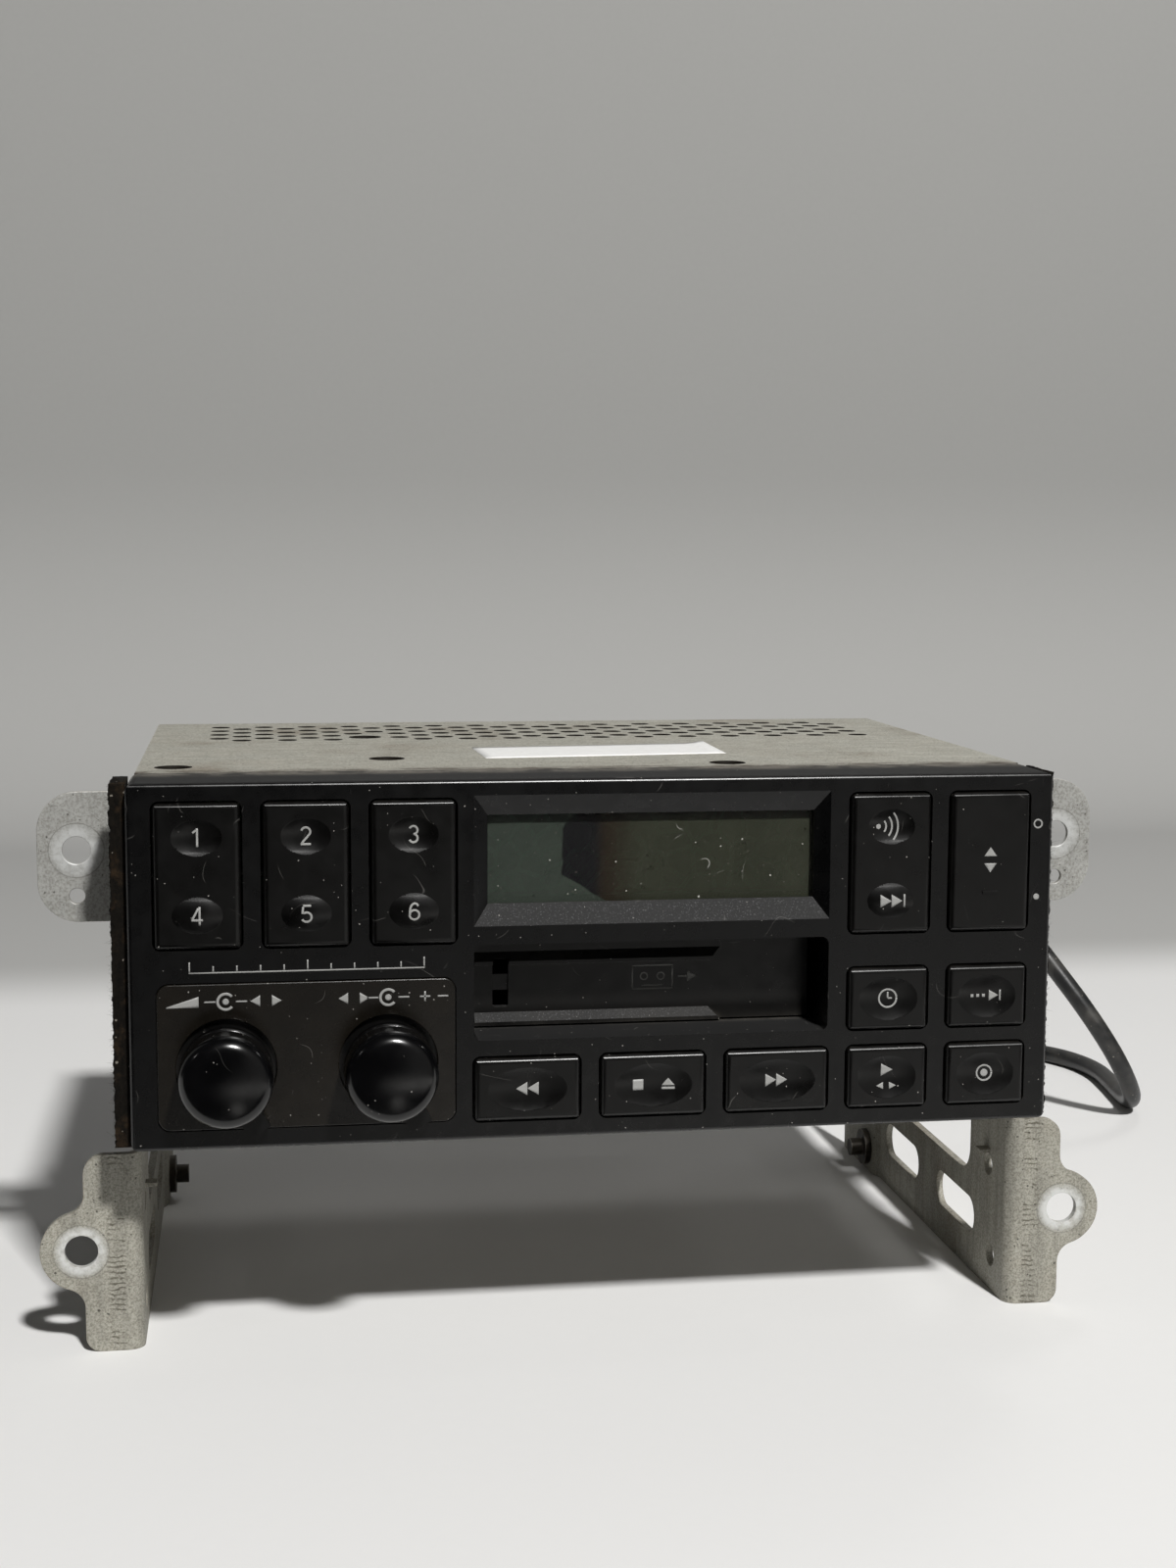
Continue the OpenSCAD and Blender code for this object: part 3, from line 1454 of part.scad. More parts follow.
// Wheel with a thick rim, a hub under the deck and the capstan as its shaft
module flywheel(y) {
    rim_w = 4;
    web_t = flywheel_t * 0.4;
    color("#c2a85a") seated() translate([capstan_x, y, 0]) {
        difference() {
            rod_z(flywheel_r, fly_bottom, fly_top, 0, 0);
            rod_z(flywheel_r - rim_w, fly_bottom - cut, fly_bottom + flywheel_t - web_t, 0, 0);
        }
        rod_z(4, fly_bottom, deck_bottom - fly_gap, 0, 0);
        rod_z(capstan_r, fly_bottom - fly_gap / 2, capstan_top, 0, 0);
    }
}

module flywheel_front() {
    flywheel(capstan_y[0]);
}

module flywheel_rear() {
    flywheel(capstan_y[1]);
}

module deck_motor() {
    color("#8d8a84") seated() difference() {
        union() {
            rod_z(motor_r, deck_top, deck_top + motor_h, motor_x, motor_y);
            rod_z(2.7, deck_bottom - 0.4, deck_top + 0.1, motor_x, motor_y);
        }
        rod_z(1 + running_gap, deck_bottom - cut, deck_top + motor_h / 2, motor_x, motor_y);
    }
}

module motor_pulley() {
    color("#c7a24a") seated() {
        rod_z(pulley_r, belt_z - belt_h, belt_z + belt_h - 1, motor_x, motor_y);
        rod_z(1, belt_z - belt_h, deck_top + motor_h / 2 - 1, motor_x, motor_y);
    }
}

// Outline round both flywheels and the pulley, at distance gap outside their rims
module belt_outline(gap) {
    hull() {
        for (y = capstan_y) translate([capstan_x, y]) circle(r = flywheel_r + gap, $fn = 64);
        translate([motor_x, motor_y]) circle(r = pulley_r + gap, $fn = 32);
    }
}

module drive_belt() {
    color("#151515") seated() along_z(belt_z - belt_h / 2, belt_z + belt_h / 2) difference() {
        belt_outline(belt_gap + belt_t);
        belt_outline(belt_gap);
    }
}

module main_board() {
    color("#2f5a3a") seated()
        block([-main_w / 2, main_front, main_z], [main_w / 2, main_back, main_z + main_t]);
}

module tuner_can() {
    color("#b7b5ae") seated() translate([can_x, can_y, 0]) {
        difference() {
            along_z(main_z + main_t, main_z + main_t + can_h) rounded_rect(can_w, can_d, 1);
            along_z(main_z, main_z + main_t + can_h - 0.6) square([can_w - 1.2, can_d - 1.2], center = true);
            for (i = [-1:1]) rod_z(2, main_z, main_z + main_t + can_h + cut, i * 14, 0);
        }
    }
}

module heat_sink() {
    step = (sink_w - sink_fin_t) / (sink_fins - 1);
    color("#6f6f70") seated() translate([sink_x, rear_y, sink_z]) {
        block([-sink_w / 2, 0, -sink_h / 2], [sink_w / 2, sink_base, sink_h / 2]);
        for (i = [0:sink_fins - 1]) translate([-sink_w / 2 + i * step, 0, 0])
            block([0, 0, -sink_h / 2], [sink_fin_t, sink_d, sink_h / 2]);
    }
}

module rear_socket() {
    front = rear_y - sheet_t - 6;
    back = rear_y + socket_d - 4;
    color("#d9d5c8") seated() translate([socket_x, 0, socket_z]) {
        difference() {
            union() {
                along_y(front, back) square([socket_w, socket_h], center = true);
                along_y(rear_y, rear_y + 1) square([socket_w + 4, socket_h + 4], center = true);
            }
            along_y(front + 2, back + cut)
                square([socket_w - 2 * socket_wall, socket_h - 2 * socket_wall], center = true);
        }
        pitch = (socket_w - 8) / (socket_pins - 1);
        for (i = [0:socket_pins - 1], s = [-1, 1])
            rod_y(0.7, front + 1, back - 2, (i - (socket_pins - 1) / 2) * pitch, s * socket_h / 4);
    }
}

module aerial_gland() {
    mouth = rear_y + gland_l;
    color("#17181a") seated() translate([gland_x, 0, gland_z]) rotate([-90, 0, 0]) difference() {
        rotate_extrude() polygon([
            [0, rear_y - sheet_t - 1], [gland_r - 2, rear_y - sheet_t - 1], [gland_r - 2, rear_y],
            [gland_r, rear_y], [gland_r, rear_y + 2], [lead_d / 2 + 1, mouth], [0, mouth]
        ]);
        translate([0, 0, rear_y - sheet_t - 2]) cylinder(r = lead_d / 2 - 0.4, h = gland_l + sheet_t + 3);
    }
}

function unit(v) = v / norm(v);
function heading(p, i) = unit(p[min(i + 1, len(p) - 1)] - p[max(i - 1, 0)]);
// Part of a at right angles to t, at unit length
function square_to(a, t) = unit(a - t * (a * t));
// Side directions along a route, each turned as little as possible from the one before
function sides_along(p) = [
    for (i = 0, a = square_to([0, 0, 1], heading(p, 0)); i < len(p);
        i = i + 1, a = i < len(p) ? square_to(a, heading(p, i)) : a) a
];
// Ring of points round one point of a route
function ring_points(c, t, a, r, sides) =
    [for (k = [0:sides - 1]) c + r * (cos(360 * k / sides) * a + sin(360 * k / sides) * cross(t, a))];

module tube(route, r, sides) {
    last = len(route) - 1;
    side = sides_along(route);
    points = [for (i = [0:last]) each ring_points(route[i], heading(route, i), side[i], r, sides)];
    walls = [
        for (i = [0:last - 1], k = [0:sides - 1])
            let (a = i * sides + k, b = i * sides + (k + 1) % sides)
            each [[a, a + sides, b], [b, a + sides, b + sides]]
    ];
    front = [for (k = [1:sides - 2]) [0, k, k + 1]];
    back = [for (k = [1:sides - 2]) [last * sides, last * sides + k + 1, last * sides + k]];
    polyhedron(points = points, faces = concat(walls, front, back), convexity = 6);
}

module aerial_lead() {
    color("#1a1b1d") seated() tube(lead_route, lead_d / 2, lead_sides);
}

module aerial_socket() {
    tail = lead_route[len(lead_route) - 1];
    boot_l = 12;
    wall = 1;
    color("#7d7f82") seated() translate(tail) rotate([0, -90, 0]) difference() {
        rotate_extrude() polygon([
            [0, 0], [lead_d / 2 + 1, 0], [plug_d / 2 - 0.8, boot_l], [plug_d / 2, boot_l],
            [plug_d / 2, plug_l], [0, plug_l]
        ]);
        translate([0, 0, boot_l + 4]) cylinder(r = plug_d / 2 - wall, h = plug_l);
    }
}

front_panel();
knob_plate();
display_lens();
display_module();
preset_rocker_1();
preset_rocker_2();
preset_rocker_3();
band_rocker();
tune_rocker();
rewind_key();
stop_key();
forward_key();
play_key();
clock_key();
scan_key();
memory_key();
volume_knob();
volume_shaft();
fader_ring();
volume_control();
tone_knob();
tone_shaft();
balance_ring();
tone_control();
pull_slider();
cassette_door();
door_pin();
front_board();
push_switches();
small_screws();
chassis();
top_cover();
bottom_cover();
left_bracket();
right_bracket();
locating_studs();
left_ear();
right_ear();
side_screws();
felt_strips();
deck_frame();
cassette_carriage();
head_plate();
tape_head();
pinch_roller_front();
pinch_roller_rear();
reel_spindle_front();
reel_spindle_rear();
flywheel_front();
flywheel_rear();
deck_motor();
motor_pulley();
drive_belt();
main_board();
tuner_can();
heat_sink();
rear_socket();
aerial_gland();
aerial_lead();
aerial_socket();
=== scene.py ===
"""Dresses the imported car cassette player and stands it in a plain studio.

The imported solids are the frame. Lengths in the sub-assemblies are millimetres measured from the
middle of the face's front plane: X to the right, Y to the back, Z up. FaceFrame turns them into
metres. Finishes and lamps use metres in the model's frame.
"""
import json
import logging
import math
from dataclasses import dataclass, field
from enum import Enum
from typing import Sequence

import bmesh
import bpy
import numpy as np
from mathutils import Matrix, Vector

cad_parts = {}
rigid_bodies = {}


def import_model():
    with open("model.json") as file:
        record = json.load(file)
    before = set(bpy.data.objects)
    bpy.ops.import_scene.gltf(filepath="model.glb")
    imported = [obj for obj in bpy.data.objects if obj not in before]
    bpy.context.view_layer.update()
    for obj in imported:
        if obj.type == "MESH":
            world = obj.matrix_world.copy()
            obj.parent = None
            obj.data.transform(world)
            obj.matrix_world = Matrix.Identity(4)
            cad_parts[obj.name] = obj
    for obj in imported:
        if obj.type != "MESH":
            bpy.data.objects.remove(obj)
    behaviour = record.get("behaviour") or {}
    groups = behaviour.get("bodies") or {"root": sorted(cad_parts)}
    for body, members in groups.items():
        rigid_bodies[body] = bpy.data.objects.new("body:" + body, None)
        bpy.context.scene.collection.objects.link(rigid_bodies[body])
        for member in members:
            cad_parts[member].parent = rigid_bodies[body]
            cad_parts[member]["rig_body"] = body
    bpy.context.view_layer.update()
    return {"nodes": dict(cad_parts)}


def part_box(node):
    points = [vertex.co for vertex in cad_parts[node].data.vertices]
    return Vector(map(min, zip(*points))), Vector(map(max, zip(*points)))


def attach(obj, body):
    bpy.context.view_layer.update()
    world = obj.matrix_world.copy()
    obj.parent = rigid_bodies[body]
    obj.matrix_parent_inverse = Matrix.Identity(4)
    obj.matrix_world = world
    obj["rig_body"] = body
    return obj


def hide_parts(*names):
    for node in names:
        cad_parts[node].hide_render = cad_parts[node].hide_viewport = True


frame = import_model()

LOG = logging.getLogger("cassette_player")
MM = 0.001
SEED = 7
MERGE_DISTANCE = 0.000002
FLAT_ANGLE = math.radians(0.4)
RIM_ANGLE = math.radians(70)
RIM_DEPTH = 0.00002
RIM_INSET = 0.0022
RIM_SEGMENTS = 4
EDGE_SEGMENTS = 2
AREA_WEIGHT = 80
Colour = tuple[float, float, float]
Surface = tuple[np.ndarray, Sequence]
Socket = bpy.types.NodeSocket


# Places and meshes

@dataclass(frozen=True)
class FaceFrame:
    """Place of the face's middle in the model, in metres."""

    y: float
    z: float

    @classmethod
    def from_panel(cls) -> "FaceFrame":
        """Reads the face's place from the front panel's box."""
        low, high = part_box("front_panel")
        return cls(low.y, (low.z + high.z) / 2)

    def metres(self, points: np.ndarray | Sequence) -> np.ndarray:
        """Turns millimetres from the middle of the face into metres in the model's frame."""
        return np.asarray(points, float) * MM + np.array([0.0, self.y, self.z])


FACE = FaceFrame.from_panel()


def grid_faces(rows: int, columns: int, wrap: bool = False) -> np.ndarray:
    """Joins a grid of points into quads.

    Args:
        rows: Number of grid rows.
        columns: Number of points in a row.
        wrap: Whether the last point of a row joins the first.

    Returns:
        Quads as rows of four point numbers.
    """
    r = np.arange(rows - 1)[:, None]
    c = np.arange(columns if wrap else columns - 1)[None, :]
    n = (c + 1) % columns
    quads = np.stack([r * columns + c, r * columns + n, (r + 1) * columns + n, (r + 1) * columns + c], -1)
    return quads.reshape(-1, 4)


def capped_faces(rings: int, sides: int) -> list[list[int]]:
    """Joins rings of points into quads and closes both ends with one face each.

    Args:
        rings: Number of rings.
        sides: Points in a ring.

    Returns:
        Faces as lists of point numbers.
    """
    count = rings * sides
    ends = [list(range(sides))[::-1], list(range(count - sides, count))]
    return grid_faces(rings, sides, wrap=True).tolist() + ends


def join(parts: Sequence[Surface]) -> tuple[np.ndarray, list]:
    """Joins surfaces into one set of points and faces.

    Args:
        parts: Pairs of points and faces.

    Returns:
        All points, and all faces with their numbers moved on.
    """
    points, faces, start = [], [], 0
    for p, f in parts:
        points.append(p)
        faces.extend([i + start for i in face] for face in f)
        start += len(p)
    return np.concatenate(points), faces


def stand(name: str, data: bpy.types.ID) -> bpy.types.Object:
    """Puts an object into the scene.

    Args:
        name: Name of the object.
        data: Its mesh, camera or lamp.

    Returns:
        The new object.
    """
    made = bpy.data.objects.new(name, data)
    bpy.context.scene.collection.objects.link(made)
    return made


def dress(mesh: bpy.types.Mesh, finish: "Finish") -> None:
    """Gives a mesh one finish in place of any that it has."""
    mesh.materials.clear()
    mesh.materials.append(finish.material())


def smooth_mesh(name: str, points: np.ndarray, faces: Sequence, finish: "Finish") -> bpy.types.Mesh:
    """Puts points and faces into a mesh that is shaded smooth.

    Args:
        name: Name of the mesh.
        points: Points in metres in the model's frame.
        faces: Faces as point numbers.
        finish: Finish of the mesh.

    Returns:
        The new mesh.
    """
    mesh = bpy.data.meshes.new(name)
    mesh.from_pydata(np.asarray(points, float).tolist(), [], [tuple(f) for f in faces])
    mesh.validate()
    mesh.shade_smooth()
    dress(mesh, finish)
    return mesh


def make_piece(name: str, points: np.ndarray, faces: Sequence, finish: "Finish",
               body: str = "player") -> bpy.types.Object:
    """Makes a piece that rides on a body.

    Args:
        name: Name of the piece.
        points: Points in metres in the model's frame.
        faces: Faces as point numbers.
        finish: Finish of the piece.
        body: Body that carries it.

    Returns:
        The new object.
    """
    piece = stand(name, smooth_mesh(name, points, faces, finish))
    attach(piece, body)
    return piece


def merged_copy(node: str, finish: "Finish", sharp: float = 32.0,
                bevel: float = 0.0, rim: float = 0.0) -> bpy.types.Object:
    """Stands a smooth-shaded copy of a node in its place.

    The copy's loose triangles are merged, flat regions become single faces, arcs are shaded
    smooth, and corners sharper than the given angle stay sharp or get a narrow rounding.

    Args:
        node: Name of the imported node.
        finish: Finish of the copy.
        sharp: Angle in degrees above which an edge stays sharp.
        bevel: Width of the rounding on sharp edges, in millimetres.
        rim: Width of a rounding on the square edges of its foremost plane alone, in millimetres.

    Returns:
        The new object, which replaces the node.
    """
    source = frame["nodes"][node]
    shape = bmesh.new()
    shape.from_mesh(source.data)
    bmesh.ops.remove_doubles(shape, verts=shape.verts, dist=MERGE_DISTANCE)
    bmesh.ops.dissolve_limit(shape, angle_limit=FLAT_ANGLE, verts=shape.verts, edges=shape.edges)
    mesh = bpy.data.meshes.new(node + "_skin")
    shape.to_mesh(mesh)
    shape.free()
    if "custom_normal" in mesh.attributes:
        mesh.attributes.remove(mesh.attributes["custom_normal"])
    mesh.shade_smooth()
    if rim:
        mark_rim(mesh)
    mesh.set_sharp_from_angle(angle=math.radians(sharp))
    dress(mesh, finish)
    piece = stand(node + "_skin", mesh)
    if bevel or rim:
        rounding = piece.modifiers.new("edge rounding", "BEVEL")
        rounding.width = (rim or bevel) * MM
        rounding.segments = RIM_SEGMENTS if rim else EDGE_SEGMENTS
        rounding.limit_method = "WEIGHT" if rim else "ANGLE"
        rounding.angle_limit = math.radians(sharp)
        rounding.use_clamp_overlap = not rim
    level = piece.modifiers.new("level faces", "WEIGHTED_NORMAL")
    level.mode = "FACE_AREA"
    level.weight = AREA_WEIGHT
    level.keep_sharp = True
    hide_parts(node)
    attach(piece, source["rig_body"])
    return piece


def mark_rim(mesh: bpy.types.Mesh) -> None:
    """Gives the square edges of a mesh's foremost plane that lie on its outline a rounding weight of one.

    Args:
        mesh: The mesh to mark.
    """
    mesh.set_sharp_from_angle(angle=RIM_ANGLE)
    square = np.zeros(len(mesh.edges), bool)
    mesh.attributes["sharp_edge"].data.foreach_get("value", square)
    ends = np.empty(2 * len(mesh.edges), int)
    mesh.edges.foreach_get("vertices", ends)
    points = np.empty(3 * len(mesh.vertices))
    mesh.vertices.foreach_get("co", points)
    points = points.reshape(-1, 3)
    inset = np.minimum(points - points.min(0), points.max(0) - points)
    foremost = points[:, 1] < points[:, 1].min() + RIM_DEPTH
    rim = foremost & (np.minimum(inset[:, 0], inset[:, 2]) < RIM_INSET)
    weight = mesh.attributes.new("bevel_weight_edge", "FLOAT", "EDGE")
    weight.data.foreach_set("value", (square & rim[ends.reshape(-1, 2)].all(1)).astype(float))


def spline(points: np.ndarray, step: float) -> np.ndarray:
    """Runs a smooth line through points, as a cubic whose slope at a point joins its neighbours.

    Args:
        points: Points of the route.
        step: Distance between points of the result, about.

    Returns:
        Points along the smooth line.
    """
    p = np.concatenate([[2 * points[0] - points[1]], points, [2 * points[-1] - points[-2]]])
    spans = np.linalg.norm(np.diff(points, axis=0), axis=1)
    counts = np.maximum(2, np.ceil(spans / step).astype(int))
    index = np.repeat(np.arange(len(spans)), counts)
    first = np.repeat(np.cumsum(counts) - counts, counts)
    t = ((np.arange(counts.sum()) - first) / counts[index])[:, None]
    a, b, c, d = (p[index + k] for k in range(4))
    line = 0.5 * (2 * b + (c - a) * t + (2 * a - 5 * b + 4 * c - d) * t**2 + (3 * b - a - 3 * c + d) * t**3)
    return np.concatenate([line, points[-1:]])


def tube(line: np.ndarray, radius: float, sides: int) -> Surface:
    """Carries a circle along a line.

    The ring at a point is its centre plus radius times (cos a, sin a) in the plane square to the
    line there. Each ring's first direction is the one before it turned as little as possible.

    Args:
        line: Points of the centre line.
        radius: Radius of the circle.
        sides: Points in a ring.

    Returns:
        Points and faces, closed at both ends.
    """
    tangent = np.gradient(line, axis=0)
    tangent /= np.linalg.norm(tangent, axis=1, keepdims=True)
    side = np.empty_like(line)
    last = np.cross(tangent[0], [0.3, 0.2, 0.9])
    for i, t in enumerate(tangent):
        last = last - t * last.dot(t)
        last = last / np.linalg.norm(last)
        side[i] = last
    other = np.cross(tangent, side)
    angle = np.linspace(0, 2 * np.pi, sides, endpoint=False)
    ring = side[:, None] * np.cos(angle)[:, None] + other[:, None] * np.sin(angle)[:, None]
    points = line[:, None] + ring * radius
    return points.reshape(-1, 3), capped_faces(len(line), sides)


def turned(profile: np.ndarray, sides: int) -> Surface:
    """Turns a profile round the Y axis: the point at angle a is (r cos a, y, r sin a).

    Args:
        profile: Rows of radius and depth, from the axis at the front to the axis at the back.
        sides: Points round the axis.

    Returns:
        Points and quads, closed where the radius is zero.
    """
    angle = np.linspace(0, 2 * np.pi, sides, endpoint=False)
    r, y = profile[:, 0, None], profile[:, 1, None]
    points = np.stack([r * np.cos(angle), np.broadcast_to(y, (len(profile), sides)), r * np.sin(angle)], -1)
    return points.reshape(-1, 3), grid_faces(len(profile), sides, wrap=True)


def arc(centre: Sequence, radius: float, start: float, end: float, count: int) -> np.ndarray:
    """Gives points of an arc in the plane, angles in degrees from start to end."""
    a = np.radians(np.linspace(start, end, count))
    return np.stack([centre[0] + radius * np.cos(a), centre[1] + radius * np.sin(a)], -1)


# Shader building

class SharedGroup(Enum):
    """Shader groups that more than one finish places."""

    SPECKS = "dust specks"
    SCRATCHES = "hair scratches"
    SETTLED = "settled dust"
    CORNERS = "worn corners"
    CLOUDS = "cloudy mask"


class Graph:
    """Adds nodes to a tree and joins them. A value is a socket or something plain."""

    def __init__(self, tree: bpy.types.NodeTree) -> None:
        """Keeps the tree that nodes are added to."""
        self.tree = tree

    def put(self, socket: Socket, value: object) -> None:
        """Links a socket to another, or sets it to a plain value.

        Args:
            socket: The input to fill.
            value: What fills it.
        """
        if isinstance(value, Socket):
            self.tree.links.new(value, socket)
        else:
            socket.default_value = value

    def add(self, kind: str, inputs: dict | None = None, **settings: object) -> bpy.types.Node:
        """Adds a node.

        Args:
            kind: Blender's name of the node, without ShaderNode.
            inputs: Values by socket name or number.
            settings: The node's own settings.

        Returns:
            The new node.
        """
        node = self.tree.nodes.new("ShaderNode" + kind)
        for key, value in settings.items():
            setattr(node, key, value)
        for key, value in (inputs or {}).items():
            self.put(node.inputs[key], value)
        return node

    def feed(self, inputs: dict[str, object]) -> None:
        """Fills inputs of the tree's surface shader by name."""
        for name, value in inputs.items():
            self.put(self.tree.nodes["Principled BSDF"].inputs[name], value)

    def shared(self, group: SharedGroup, vector: Socket, **numbers: float) -> Socket:
        """Places a shared group with its own numbers and gives its mask."""
        tree = bpy.data.node_groups[group.value]
        return self.add("Group", {"Vector": vector, **numbers}, node_tree=tree).outputs[0]

    def math(self, operation: str, a: object, b: object = 0.0, clamp: bool = False) -> Socket:
        """Works out one sum and gives its result."""
        return self.add("Math", {0: a, 1: b}, operation=operation, use_clamp=clamp).outputs[0]

    def chain(self, operation: str, values: Sequence, clamp: bool = False) -> Socket:
        """Works the same sum along a row of values.

        Args:
            operation: Blender's name of the sum.
            values: Two values or more.
            clamp: Whether the last result is kept between 0 and 1.

        Returns:
            The last result.
        """
        total, *middle, last = values
        for value in middle:
            total = self.math(operation, total, value)
        return self.math(operation, total, last, clamp)

    def times(self, *values: object, clamp: bool = False) -> Socket:
        """Multiplies values."""
        return self.chain("MULTIPLY", values, clamp)

    def plus(self, *values: object, clamp: bool = False) -> Socket:
        """Adds values."""
        return self.chain("ADD", values, clamp)

    def most(self, *values: object) -> Socket:
        """Gives the greatest of the values."""
        return self.chain("MAXIMUM", values)

    def minus(self, a: object, b: object, clamp: bool = False) -> Socket:
        """Takes one value from another."""
        return self.math("SUBTRACT", a, b, clamp)

    def size(self, value: object) -> Socket:
        """Gives a value without its sign."""
        return self.math("ABSOLUTE", value)

    def squares(self, a: Socket, b: Socket) -> Socket:
        """Adds the squares of two values."""
        return self.plus(self.times(a, a), self.times(b, b))

    def blend(self, factor: object, a: object, b: object, mode: str = "MIX") -> Socket:
        """Mixes two colours.

        Args:
            factor: Share of the second colour.
            a: First colour.
            b: Second colour.
            mode: Blender's name of the way to mix.

        Returns:
            The mixed colour.
        """
        node = self.add("Mix", {0: factor}, data_type="RGBA", blend_type=mode)
        for key, value in ((6, a), (7, b)):
            self.put(node.inputs[key], value if isinstance(value, Socket) else (*value, 1))
        return node.outputs[2]

    def remap(self, value: object, low: object, high: object,
              new_low: float = 0.0, new_high: float = 1.0) -> Socket:
        """Stretches low..high to the new range, smoothly and clamped."""
        inputs = {"Value": value, "From Min": low, "From Max": high, "To Min": new_low, "To Max": new_high}
        return self.add("MapRange", inputs, interpolation_type="SMOOTHSTEP").outputs[0]

    def fade(self, value: object, low: float, high: float) -> Socket:
        """Falls smoothly from 1 at low to 0 at high."""
        return self.remap(value, low, high, 1.0, 0.0)

    def noise(self, vector: Socket, scale: object, detail: float = 3.0, roughness: float = 0.55) -> Socket:
        """Gives a cloudy noise between 0 and 1."""
        inputs = {"Vector": vector, "Scale": scale, "Detail": detail, "Roughness": roughness}
        return self.add("TexNoise", inputs).outputs[0]

    def place(self) -> Socket:
        """Gives the surface's own coordinates in metres."""
        return self.add("TexCoord").outputs["Object"]

    def axes(self, vector: Socket) -> list[Socket]:
        """Splits a vector into its three parts."""
        return list(self.add("SeparateXYZ", {0: vector}).outputs)

    def slope(self) -> Socket:
        """Gives how far the surface looks up, from -1 to 1."""
        return self.axes(self.add("NewGeometry").outputs["Normal"])[2]

    def stretch(self, vector: Socket, scale: Sequence, turn: Sequence = (0, 0, 0),
                move: Sequence = (0, 0, 0)) -> Socket:
        """Scales, turns and moves coordinates."""
        inputs = {"Vector": vector, "Scale": scale, "Rotation": turn, "Location": move}
        return self.add("Mapping", inputs).outputs[0]

    def bump(self, height: Socket, distance: float) -> Socket:
        """Turns a height between 0 and 1 into a normal; distance is in metres."""
        return self.add("Bump", {"Height": height, "Distance": distance, "Strength": 1.0}).outputs[0]


class GroupShelf:
    """Builds each shared group once."""

    @staticmethod
    def start(group: SharedGroup, **numbers: float) -> tuple[Graph, dict[str, Socket], Socket]:
        """Opens a new group that turns coordinates and numbers into a mask.

        Args:
            group: Which group.
            numbers: Usual value of each number, by input name.

        Returns:
            The group's graph, its inputs by name, and the socket of its mask.
        """
        tree = bpy.data.node_groups.new(group.value, "ShaderNodeTree")
        tree.interface.new_socket("Vector", in_out="INPUT", socket_type="NodeSocketVector")
        for name, value in numbers.items():
            socket = tree.interface.new_socket(name, in_out="INPUT", socket_type="NodeSocketFloat")
            socket.default_value = value
        tree.interface.new_socket("Mask", in_out="OUTPUT", socket_type="NodeSocketFloat")
        given = {s.name: s for s in tree.nodes.new("NodeGroupInput").outputs}
        return Graph(tree), given, tree.nodes.new("NodeGroupOutput").inputs[0]

    def specks(self) -> None:
        """Round specks of mixed size: one to a cell, as wide as the cell's own random number allows."""
        graph, given, mask = self.start(SharedGroup.SPECKS, Scale=900, Amount=0.5)
        wander = graph.add("TexNoise", {"Vector": given["Vector"], "Scale": 2200.0}).outputs[1]
        shift = graph.add("VectorMath", {0: wander, "Scale": 0.0003}, operation="SCALE").outputs[0]
        bent = graph.add("VectorMath", {0: given["Vector"], 1: shift}, operation="ADD").outputs[0]
        cells = graph.add("TexVoronoi", {"Vector": bent, "Scale": given["Scale"]})
        chance = graph.axes(cells.outputs["Color"])[0]
        share = graph.add("MapRange", {"Value": chance, "From Min": 0.93, "From Max": 1.0}).outputs[0]
        gap = graph.minus(graph.times(share, given["Amount"]), cells.outputs["Distance"])
        graph.put(mask, graph.remap(gap, 0.0, 0.07))

    def scratches(self) -> None:
        """Thin curls: where one smooth noise crosses its middle, kept where a second one is high."""
        graph, given, mask = self.start(SharedGroup.SCRATCHES, Scale=60, Amount=0.5)
        curls = []
        for turn, shift in ((0.6, 0.0), (-0.9, 3.1), (1.7, 5.3)):
            lines = graph.stretch(given["Vector"], (1, 1, 1), (turn, turn * 0.7, turn * 1.3), (shift,) * 3)
            level = graph.minus(graph.noise(lines, given["Scale"], 1.0, 0.4), 0.5)
            keep = graph.remap(graph.noise(lines, 130.0, 1.0), 0.63, 0.7)
            curls.append(graph.times(graph.fade(graph.size(level), 0.0, 0.003), keep))
        graph.put(mask, graph.times(graph.most(0.0, *curls), given["Amount"], clamp=True))

    def settled(self) -> None:
        """Dust that lies on faces that look up and in the nooks between pieces."""
        graph, given, mask = self.start(SharedGroup.SETTLED, Flat=0.5, Nook=0.5, Reach=0.003)
        up = graph.remap(graph.slope(), 0.2, 0.95)
        cloud = graph.remap(graph.noise(given["Vector"], 90.0, 5.0, 0.65), 0.3, 0.75)
        nook = graph.add("AmbientOcclusion", {"Distance": given["Reach"]}, samples=6, only_local=False)
        flat = graph.times(up, cloud, given["Flat"])
        corner = graph.times(graph.fade(nook.outputs["AO"], 0.35, 0.9), cloud, given["Nook"])
        graph.put(mask, graph.plus(flat, corner, clamp=True))

    def corners(self) -> None:
        """Worn corners: where a rounded normal turns away from the true one, broken up by noise."""
        graph, given, mask = self.start(SharedGroup.CORNERS, Width=0.0004, Amount=0.6)
        true = graph.add("NewGeometry").outputs["Normal"]
        soft = graph.add("Bevel", {"Radius": given["Width"]}, samples=4).outputs[0]
        same = graph.add("VectorMath", {0: true, 1: soft}, operation="DOT_PRODUCT").outputs["Value"]
        broken = graph.remap(graph.noise(given["Vector"], 260.0, 4.0, 0.7), 0.35, 0.62)
        graph.put(mask, graph.times(graph.fade(same, 0.82, 0.99), broken, given["Amount"], clamp=True))

    def clouds(self) -> None:
        """A noise whose range is narrowed to low..high, for stains and mottling."""
        graph, given, mask = self.start(SharedGroup.CLOUDS, Scale=40, Low=0.4, High=0.6)
        cloud = graph.noise(given["Vector"], given["Scale"], 6.0, 0.62)
        graph.put(mask, graph.remap(cloud, given["Low"], given["High"]))

    def build(self) -> None:
        """Builds every group."""
        for make in (self.specks, self.scratches, self.settled, self.corners, self.clouds):
            make()


# Kinds of finish

